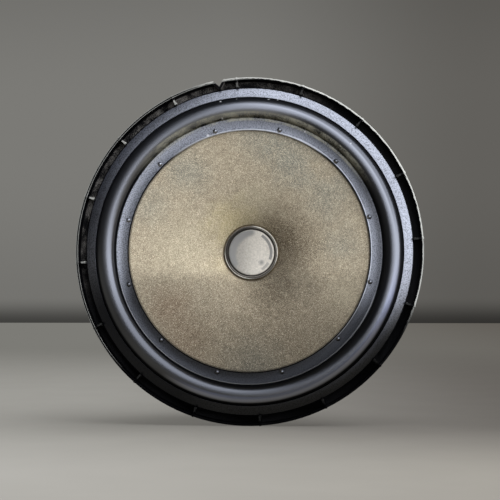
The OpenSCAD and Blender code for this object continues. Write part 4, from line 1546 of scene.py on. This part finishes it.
@dataclass
class MetalCap:
    """Shallow metal cap with a groove and a rolled bead inside the coil former."""

    disc_front: float = -12.3
    dish: float = 0.5
    edge_r: float = 11.31
    rounding: float = 0.5
    groove_depth: float = 0.8
    corner: float = 0.12
    bead_mid: float = 12.21
    bead: float = 0.3
    bead_front: float = -11.6
    skirt: float = 12.71
    skirt_back: float = -14.3
    metal: float = 0.35
    facets: int = 128

    def outline(self) -> Outline:
        """Section of the cap.

        Returns:
            Corners from the middle of the disc out to the skirt and back.
        """
        disc_r = self.edge_r - self.rounding
        groove, groove_out = self.disc_front - self.groove_depth, self.bead_mid - self.bead
        dished = [(disc_r * share, self.disc_front - self.dish * (1 - share ** 2))
                  for share in (index / 10 for index in range(10))]
        return [
            *dished,
            *arc(disc_r, self.disc_front - self.rounding, self.rounding, self.rounding, 90, 0, 6),
            (self.edge_r, groove + self.corner), (self.edge_r + self.corner, groove),
            (groove_out - self.corner, groove), (groove_out, groove + self.corner),
            *arc(self.bead_mid, self.bead_front, self.bead, self.bead, 180, 0, 12),
            (self.skirt, self.bead_front - self.bead),
            (self.skirt, self.skirt_back),
            (self.skirt - self.metal, self.skirt_back),
            (self.skirt - self.metal, groove - self.metal),
            (self.edge_r - self.metal, groove - self.metal),
            (self.edge_r - self.metal, self.disc_front - self.rounding),
            (disc_r, self.disc_front - self.metal),
            *((radius, front - self.metal) for radius, front in reversed(dished)),
        ]

    def build(self, effects: Effects) -> None:
        """Makes and dresses the cap.

        Args:
            effects: The shared effects.
        """
        metal = CapMetal(edge_r=self.edge_r).build(effects)
        piece = turned("metal_cap", self.outline(), self.facets)
        fit(piece, "dust_cap", metal, Body.DIAPHRAGM, 50)


@dataclass
class GlueBead:
    """Uneven bead of dark glue between the former and the cone."""

    inner: float = 13.04
    neck: float = 13.26
    neck_front: float = -13.7
    foot: float = 0.44
    width: float = 0.7
    height: float = 0.6
    creep: float = 0.3
    glue_gap: float = 0.04
    uneven: float = 0.08
    facets: int = 160

    def build(self, cone: PaperCone, effects: Effects) -> None:
        """Makes and dresses the bead.

        Args:
            cone: The cone that carries it.
            effects: The shared effects.
        """
        top = self.neck_front + self.height
        under = [self.neck + self.width * share for share in (1.0, 0.75, 0.5, 0.25, 0.0)]
        outline = [
            (self.inner, self.neck_front + self.foot),
            (self.inner, top + self.creep),
            (self.neck + self.width * 0.1, top + self.creep * 0.3),
            (self.neck + self.width * 0.35, top),
            *((radius, cone.front(radius) + self.glue_gap) for radius in under),
        ]
        piece = turned("glue_bead", outline, self.facets)
        self.roughen(piece)
        glue = HardGlue("dark glue", srgb(84, 72, 52), 0.6).build(effects)
        fit(piece, "neck_adhesive", glue, Body.DIAPHRAGM, 60)

    def roughen(self, piece: bpy.types.Object) -> None:
        """Makes the bead's front uneven, in slow swells round the neck.

        Args:
            piece: The bead.
        """
        for vertex in piece.data.vertices:
            turn = math.atan2(vertex.co.z, vertex.co.x)
            swell = math.sin(5 * turn + 0.7) + 0.6 * math.sin(11 * turn) + 0.4 * math.sin(23 * turn)
            radius = math.hypot(vertex.co.x, vertex.co.z) / MM
            share = min(max((radius - self.inner) / self.width, 0), 1)
            vertex.co.y -= self.uneven * MM * swell * share * (1 - share) * 2


@dataclass
class Spider:
    """Corrugated cloth that centres the coil."""

    landing: float = 41.5
    outer: float = 47.0
    seat: float = -19.6
    bend: float = 41.0
    neck: float = 13.26
    cloth: float = 0.5
    wave_height: float = 1.4
    waves: int = 5
    steps_per_wave: int = 14
    neck_height: float = 2.2
    facets: int = 160

    def outline(self) -> Outline:
        """Section of the cloth.

        Returns:
            Corners along the front from the landing to the neck, and back along the back.
        """
        middle = self.seat + self.cloth / 2
        inner = self.neck + self.cloth + 1
        steps = self.steps_per_wave * self.waves
        slope = math.tau * self.waves * self.wave_height / (self.bend - inner)
        front, back = [], []
        for index in range(steps + 1):
            share = index / steps
            angle = math.tau * self.waves * share
            radius = self.bend + (inner - self.bend) * share
            height = middle + self.wave_height * math.sin(angle)
            half = self.cloth / 2 * math.hypot(1, slope * math.cos(angle))
            front.append((radius, height + half))
            back.append((radius, height - half))
        return [
            (self.landing, self.seat), (self.outer, self.seat),
            (self.outer, self.seat + self.cloth), (self.landing, self.seat + self.cloth),
            *front,
            (self.neck + self.cloth, middle + self.neck_height),
            (self.neck, middle + self.neck_height),
            (self.neck, middle - self.cloth / 2),
            *reversed(back),
        ]

    def build(self, effects: Effects) -> None:
        """Makes and dresses the cloth.

        Args:
            effects: The shared effects.
        """
        piece = turned("centring_cloth", self.outline(), self.facets)
        fit(piece, "spider", WovenCloth().build(effects), angle=50)
        bend_round_axis(piece, self.bend, self.neck + self.cloth + 1)


@dataclass
class FoamSeal:
    """Foam strip behind the rim, with its ends at the index notch."""

    inner: float = 78.9
    outer: float = 81.7
    back: float = -0.5
    front: float = 1.5
    notch_turn: float = 100.0
    notch_half: float = 3.2
    facets: int = 240

    def build(self, effects: Effects) -> None:
        """Makes and dresses the seal.

        Args:
            effects: The shared effects.
        """
        outline = [(self.inner, self.back), (self.outer, self.back),
                   (self.outer, self.front), (self.inner, self.front)]
        piece = turned("foam_seal", outline, self.facets)
        self.open_notch(piece)
        bevel(piece, 0.25, 3)
        fit(piece, "mounting_seal", ClosedFoam().build(effects), Body.FRAME)

    def open_notch(self, piece: bpy.types.Object) -> None:
        """Cuts the strip through at the notch.

        Args:
            piece: The whole ring.
        """
        piece.rotation_euler = (0, math.radians(self.notch_turn), 0)
        settle(piece)
        half = math.radians(self.notch_half)
        with editing(piece):
            for side in (-half, half):
                bpy.ops.mesh.select_all(action="SELECT")
                bpy.ops.mesh.bisect(
                    plane_co=(0, 0, 0), plane_no=(-math.sin(side), 0, math.cos(side)))
            bpy.ops.mesh.select_all(action="DESELECT")
        for face in piece.data.polygons:
            middle = face.center
            face.select = middle.x > 0 and abs(middle.z) < math.tan(half) * middle.x
        with editing(piece, ""):
            bpy.ops.mesh.delete(type="FACE")
            bpy.ops.mesh.select_all(action="SELECT")
            bpy.ops.mesh.fill_holes(sides=8)
            close_shell()
        piece.rotation_euler = (0, -math.radians(self.notch_turn), 0)
        settle(piece)


@dataclass
class Lead:
    """Braided lead from its solder tab to the back of the cone."""

    name: str
    node: str
    side: int
    diameter: float = 1.4
    tab_across: float = 5.0
    start_r: float = 55.5
    end_r: float = 22.739
    pad_front: float = -12.0
    points: tuple[Point, ...] = (
        (0, 0, 2.2), (0, 0.05, 2.2), (0.6, 0.2, 3.6), (1.8, 0.41, 2.8), (2.6, 0.63, 0),
        (2.5, 0.8, -0.4), (1.8, 0.9, 2.6), (1.4, 0.955, 3.8), (1.4, 1, 3.8),
    )
    rings_per_span: int = 5
    sides: int = 16

    def route(self) -> list[Vector]:
        """Points that the lead follows.

        Returns:
            The smooth route in metres, from the tab to the solder joint.
        """
        corners = [
            Vector((
                self.side * (self.tab_across + out),
                -(self.pad_front + up),
                -self.start_r + (self.start_r - self.end_r) * share,
            )) * MM
            for out, share, up in self.points
        ]
        last = len(corners) - 1
        line = []
        for index in range(last):
            a, b = corners[max(index - 1, 0)], corners[index]
            c, d = corners[index + 1], corners[min(index + 2, last)]
            for step in range(self.rings_per_span):
                t = step / self.rings_per_span
                line.append(0.5 * (2 * b + (c - a) * t + (2 * a - 5 * b + 4 * c - d) * t * t
                                   + (3 * b - a - 3 * c + d) * t ** 3))
        return [*line, corners[last]]

    def build(self, braid: bpy.types.Material) -> None:
        """Makes and dresses the lead.

        Args:
            braid: The braid's material.
        """
        line = self.route()
        curve = bpy.data.curves.new(self.name, "CURVE")
        curve.dimensions = "3D"
        curve.bevel_depth = self.diameter / 2 * MM
        curve.bevel_resolution = self.sides // 4
        curve.use_fill_caps = True
        spline = curve.splines.new("POLY")
        spline.points.add(len(line) - 1)
        for point, place in zip(spline.points, line):
            point.co = (*place, 1)
        piece = bpy.data.objects.new(self.name, curve)
        bpy.context.collection.objects.link(piece)
        choose(piece)
        bpy.ops.object.convert(target="MESH")
        piece = bpy.context.object
        self.chart(piece, line)
        fit(piece, self.node, braid, angle=60)
        length = sum((b - a).length for a, b in zip(line, line[1:]))
        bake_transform(piece, Body.FRAME.value, Body.DIAPHRAGM.value, line[0], line[-1])

    def chart(self, piece: bpy.types.Object, line: Sequence[Vector]) -> None:
        """Lays a map on the lead: metres along it and turns round it.

        Args:
            piece: The lead's mesh.
            line: Its route.
        """
        along = [0.0]
        for a, b in zip(line, line[1:]):
            along.append(along[-1] + (b - a).length)
        chart = piece.data.uv_layers.new(name="along")
        for loop in piece.data.loops:
            place = piece.data.vertices[loop.vertex_index].co
            nearest = min(range(len(line)), key=lambda index: (line[index] - place).length)
            ahead = (line[min(nearest + 1, len(line) - 1)] - line[max(nearest - 1, 0)]).normalized()
            across = ahead.cross(Vector((0, 1, 0))).normalized()
            off = place - line[nearest]
            turn = math.atan2(off.dot(across.cross(ahead)), off.dot(across)) / math.tau
            chart.data[loop.index].uv = (along[nearest], turn)


@dataclass
class Winding:
    """Voice coil with its turns of wire showing."""

    inner: float = 13.04
    outer: float = 13.56
    back: float = -39.5
    front: float = -25.5
    turns: int = 52
    facets: int = 96

    def build(self, wire: bpy.types.Material) -> None:
        """Makes and dresses the winding.

        Args:
            wire: The wire's material.
        """
        pitch = (self.front - self.back) / self.turns
        radius = pitch / 2
        outline = [(self.inner, self.front - radius * 0.1)]
        for index in range(self.turns):
            middle = self.front - pitch * (index + 0.5)
            outline += arc(self.outer - radius, middle, radius, radius * 0.98, 80, -80, 3)
        outline.append((self.inner, self.back))
        piece = turned("winding", outline, self.facets)
        fit(piece, "voice_coil", wire, Body.DIAPHRAGM, 60)


@dataclass
class HardParts:
    """Rigid CAD nodes whose shape is right: each gets its finish."""

    finishes: dict[str, Finish] = field(default_factory=lambda: {
        "connector_housing": MouldedPlastic("connector plastic", srgb(36, 37, 40)),
        "terminal_positive": BareMetal("tinned brass", srgb(206, 198, 168), 0.32,
                                       brushing=Brushing.DRAWN),
        "terminal_rivets": BareMetal("rivet aluminium", srgb(196, 198, 202), 0.34),
        "top_plate": BareMetal("zinc plate", srgb(168, 170, 172), 0.4, brushing=Brushing.TURNED),
        "plate_screws": BareMetal("screw zinc", srgb(186, 186, 186), 0.33),
        "coil_former": FormerFoil(),
        "magnet_ring": SinteredFerrite(),
        "coil_collar": PulpPaper("kraft paper", srgb(170, 132, 88), fibre=srgb(196, 160, 112),
                                 gap=srgb(132, 98, 60)),
        "lead_joints": HardGlue("brown glue", srgb(92, 58, 34)),
    })
    alike: dict[str, str] = field(default_factory=lambda: {
        "terminal_negative": "terminal_positive", "pole_yoke": "top_plate"})

    def build(self, nodes: dict[str, bpy.types.Object], effects: Effects) -> None:
        """Dresses the nodes.

        Args:
            nodes: The CAD nodes' objects by name.
            effects: The shared effects.
        """
        made = {node: finish.build(effects) for node, finish in self.finishes.items()}
        made |= {node: made[model] for node, model in self.alike.items()}
        for node, material in made.items():
            dress(nodes[node], material)
            log.info("%s: dressed as %s", node, material.name)


@dataclass(frozen=True)
class Lamp:
    """Soft rectangular lamp that looks at the speaker."""

    name: str
    place: Point
    width: float
    height: float
    power: float
    colour: Colour = (0.97, 0.98, 1.0)

    def hang(self) -> bpy.types.Object:
        """Hangs the lamp.

        Returns:
            The lamp.
        """
        bpy.ops.object.light_add(type="AREA", location=self.place)
        lamp = bpy.context.object
        lamp.name = self.name
        lamp.data.shape = "RECTANGLE"
        lamp.data.size = self.width
        lamp.data.size_y = self.height
        lamp.data.energy = self.power
        lamp.data.color = self.colour
        lamp.rotation_euler = (-Vector(self.place)).to_track_quat("-Z", "Y").to_euler()
        return lamp


@dataclass
class Studio:
    """Floor, backdrop, lamps and camera."""

    azimuth: float = 4.0
    elevation: float = -2.5
    distance: float = 0.6065
    lens: float = 90.4
    aim: Point = (0.0002, 0.0, 0.0007)
    wall_y: float = 3.35
    wall_size: float = 8.0
    # floor and backdrop colours hold painted shade: darker to the right, and darker near the speaker than in
    # front of it
    floor_left: Colour = srgb(162, 160, 154)
    floor_right: Colour = srgb(102, 98, 93)
    front_left: Colour = srgb(185, 183, 177)
    front_right: Colour = srgb(162, 157, 148)
    # share of the near floor that glows as painted light, lightening the shadows on it
    floor_glow: float = 0.5
    far_left: Colour = srgb(124, 123, 118)
    far_right: Colour = srgb(98, 94, 88)
    wall_left: Colour = srgb(123, 122, 118)
    wall_right: Colour = srgb(98, 96, 92)
    key: Lamp = Lamp("key lamp", (0.416, -0.705, 0.373), 1.22, 1.04, 14.8, (0.93, 0.955, 1.0))
    sheen: Lamp = Lamp("sheen lamp", (0.416, -0.705, 0.373), 1.22, 1.04, 14.8, (0.77, 0.83, 1.0))
    top: Lamp = Lamp("top lamp", (0.5, -0.1, 1.4), 1.6, 1.6, 33.0)
    back: Lamp = Lamp("back lamp", (-0.45, 0.8, 0.5), 0.9, 0.9, 18.0)
    world_level: float = 0.06
    card_share: float = 0.075
    card_low: float = -0.05
    card_size: Point = (1.2, 0.12, 1)
    card_lean: float = 64.0
    card_tilt: float = 5.4

    def build(self, low: Vector, high: Vector) -> bpy.types.Object:
        """Sets the studio up round the speaker, except for its lamps.

        Args:
            low: Lowest corner of the speaker.
            high: Highest corner of the speaker.

        Returns:
            The floor.
        """
        self.shoot_from((low + high) / 2)
        floor = self.lay_floor(low.z)
        self.hang_wall(low.z)
        self.fill_world()
        bpy.context.scene.view_settings.view_transform = "Standard"
        return floor

    def shoot_from(self, middle: Vector) -> None:
        """Places the camera.

        Args:
            middle: Middle of the speaker.
        """
        target = Vector((middle.x, 0, middle.z)) + Vector(self.aim)
        turn, rise = math.radians(self.azimuth), math.radians(self.elevation)
        back = Vector((math.sin(turn) * math.cos(rise), -math.cos(turn) * math.cos(rise),
                       math.sin(rise)))
        bpy.ops.object.camera_add(location=target + back * self.distance)
        camera = bpy.context.object
        camera.name = "camera"
        camera.rotation_euler = (-back).to_track_quat("-Z", "Y").to_euler()
        camera.data.lens = self.lens
        camera.data.sensor_width = 36
        camera.data.clip_start = 0.01
        camera.data.clip_end = 50
        bpy.context.scene.camera = camera

    def lay_floor(self, height: float) -> bpy.types.Object:
        """Lays the pale floor, painted darker to the right and near the speaker, with half its colour
        glowing as painted light.

        Args:
            height: The speaker's lowest point.

        Returns:
            The floor.
        """
        deselect()
        bpy.ops.mesh.primitive_plane_add(size=1, location=(0, self.wall_y / 2 - 1, height))
        floor = bpy.context.object
        floor.name = "floor"
        floor.scale = (self.wall_size, self.wall_y + 2, 1)
        settle(floor)
        paint = Coat("floor paint", None, 0.75)
        x, y, _ = paint.axes(paint.place)
        # painted shade: darker to the right, and darker near the speaker than in front of it
        sides, far = paint.ramp(x, -0.16, 0.2), paint.ramp(y, 0.1, 1.1)
        near = paint.blend(
            paint.ramp(y, 0.02, -0.2), paint.blend(sides, self.floor_left, self.floor_right),
            paint.blend(sides, self.front_left, self.front_right))
        near = paint.shade(near, paint.vary(paint.noise(paint.place, 40, 3), 0.985, 1.015))
        away = paint.blend(paint.ramp(x, -0.4, 0.6), self.far_left, self.far_right)
        # painted light: half the near floor's colour glows for the camera and reflections
        lit = paint.shade(near, 1 - self.floor_glow)
        glowing = paint.shade(near, self.floor_glow)
        paint.set(Base_Color=paint.blend(far, lit, (0.0, 0.0, 0.0)))
        self.glow(paint, paint.blend(far, glowing, away))
        floor.data.materials.append(paint.material)
        floor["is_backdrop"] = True
        return floor

    def hang_wall(self, height: float) -> None:
        """Hangs the grey backdrop, which glows for the camera and reflections, painted darker along the
        floor line, towards the top and to the right.

        Args:
            height: The floor's height.
        """
        deselect()
        bpy.ops.mesh.primitive_plane_add(
            size=self.wall_size, location=(0, self.wall_y, height + self.wall_size / 2),
            rotation=(math.radians(90), 0, 0))
        wall = bpy.context.object
        wall.name = "backdrop"
        settle(wall)
        paint = Coat("backdrop paint", None, 0.9)
        x, _, z = paint.axes(paint.place)
        # painted shade: darker along the floor line, towards the top and to the right
        level = 0.26
        for start, end, share in ((0, 0.085, 0.6), (0, 0.5, 0.14), (0.7, 1.3, -0.25)):
            level = paint.ramp(z, height + start, height + end) * share + level
        paint.set(Base_Color=(0.0, 0.0, 0.0))
        colour = paint.blend(paint.ramp(x, -0.35, 0.5), self.wall_left, self.wall_right)
        self.glow(paint, paint.shade(colour, level))
        wall.data.materials.append(paint.material)
        wall.visible_shadow = False
        wall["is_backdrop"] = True

    def glow(self, paint: Coat, colour: Wire) -> None:
        """Shows a background colour to the camera and to reflections, without lighting anything.

        Args:
            paint: The material.
            colour: The colour.
        """
        rays = paint.add("ShaderNodeLightPath").outputs
        camera, glossy, passing = (
            Wire(paint, rays[f"Is {kind} Ray"]) for kind in ("Camera", "Glossy", "Transmission"))
        seen = paint.maths("ADD", camera + glossy, passing, clamp=True)
        paint.set(Specular_IOR_Level=0.0, Emission_Color=colour, Emission_Strength=seen)

    def light(self, floor: bpy.types.Object, rubber: bpy.types.Object) -> None:
        """Hangs the key lamp at the upper right with its card, and lamps above and behind.

        The rubber has a cooler key lamp of its own in the same place.

        Args:
            floor: The floor, which only the top lamp lights.
            rubber: The rubber, which the top lamp leaves out.
        """
        key, sheen, top, back = (
            lamp.hang() for lamp in (self.key, self.sheen, self.top, self.back))
        back.visible_camera = False
        back.light_linking.receiver_collection = self.linked("EXCLUDE", floor, rubber)
        key.light_linking.receiver_collection = self.linked("EXCLUDE", floor, rubber)
        sheen.light_linking.receiver_collection = self.linked("INCLUDE", rubber)
        top.light_linking.receiver_collection = self.linked("EXCLUDE", rubber)
        top.light_linking.blocker_collection = self.linked("EXCLUDE", self.hold_card())

    def linked(self, state: str, *things: bpy.types.Object) -> bpy.types.Collection:
        """Makes a list of things for a lamp.

        Args:
            state: INCLUDE for these alone, EXCLUDE for all but these.
            things: The things.

        Returns:
            The list.
        """
        listed = bpy.data.collections.new(f"{state.lower()} {things[0].name}")
        for index, thing in enumerate(things):
            listed.objects.link(thing)
            listed.collection_objects[index].light_linking.link_state = state
        return listed

    def hold_card(self) -> bpy.types.Object:
        """Holds a card before the key lamp, which shades the speaker's lower third softly.

        Returns:
            The card.
        """
        key = Vector(self.key.place)
        edge = Vector((0, 0, self.card_low)).lerp(key, self.card_share)
        deselect()
        bpy.ops.mesh.primitive_plane_add(size=1, location=edge)
        card = bpy.context.object
        card.name = "card"
        with editing(card):
            bpy.ops.transform.translate(value=(0, -0.5, 0))
            bpy.ops.transform.resize(value=self.card_size, center_override=edge)
        card.rotation_euler = (math.radians(self.card_lean), math.radians(self.card_tilt),
                               math.atan2(key.x, -key.y))
        settle(card)
        card.visible_camera = False
        card.visible_glossy = False
        paint = Coat("card paint", None, 0.9)
        mottle = paint.vary(paint.noise(paint.place, 20), 0.8, 1.2)
        paint.set(Base_Color=paint.shade((0.01, 0.01, 0.01), mottle))
        card.data.materials.append(paint.material)
        card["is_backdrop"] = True
        return card

    def fill_world(self) -> None:
        """Fills the surroundings with a plain grey."""
        world = bpy.data.worlds.new("studio air")
        world.use_nodes = True
        bpy.context.scene.world = world
        ground = world.node_tree.nodes["Background"]
        ground.inputs["Color"].default_value = (0.62, 0.64, 0.68, 1)
        ground.inputs["Strength"].default_value = self.world_level


def main() -> None:
    """Builds the speaker's looks, its studio and its camera."""
    logging.basicConfig(level=logging.INFO, format="%(name)s: %(message)s")
    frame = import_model()
    cad_low, cad_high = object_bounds()
    effects = Effects()

    studio = Studio()
    floor = studio.build(cad_low, cad_high)
    braid = CopperBraid().build(effects)
    Lead("braided_lead_positive", "lead_positive", -1).build(braid)
    Lead("braided_lead_negative", "lead_negative", 1).build(braid)

    cone = PaperCone()
    Basket().build(frame["nodes"]["basket"], effects)
    FoamSeal().build(effects)
    rubber = RubberSurround().build(effects)
    studio.light(floor, rubber)
    cone.build(effects)
    MetalCap().build(effects)
    GlueBead().build(cone, effects)
    Spider().build(effects)
    wire = WireLacquer().build(effects)
    Winding().build(wire)
    dress(frame["nodes"]["coil_tails"], wire)
    HardParts().build(frame["nodes"], effects)


if __name__ == "__main__":
    main()
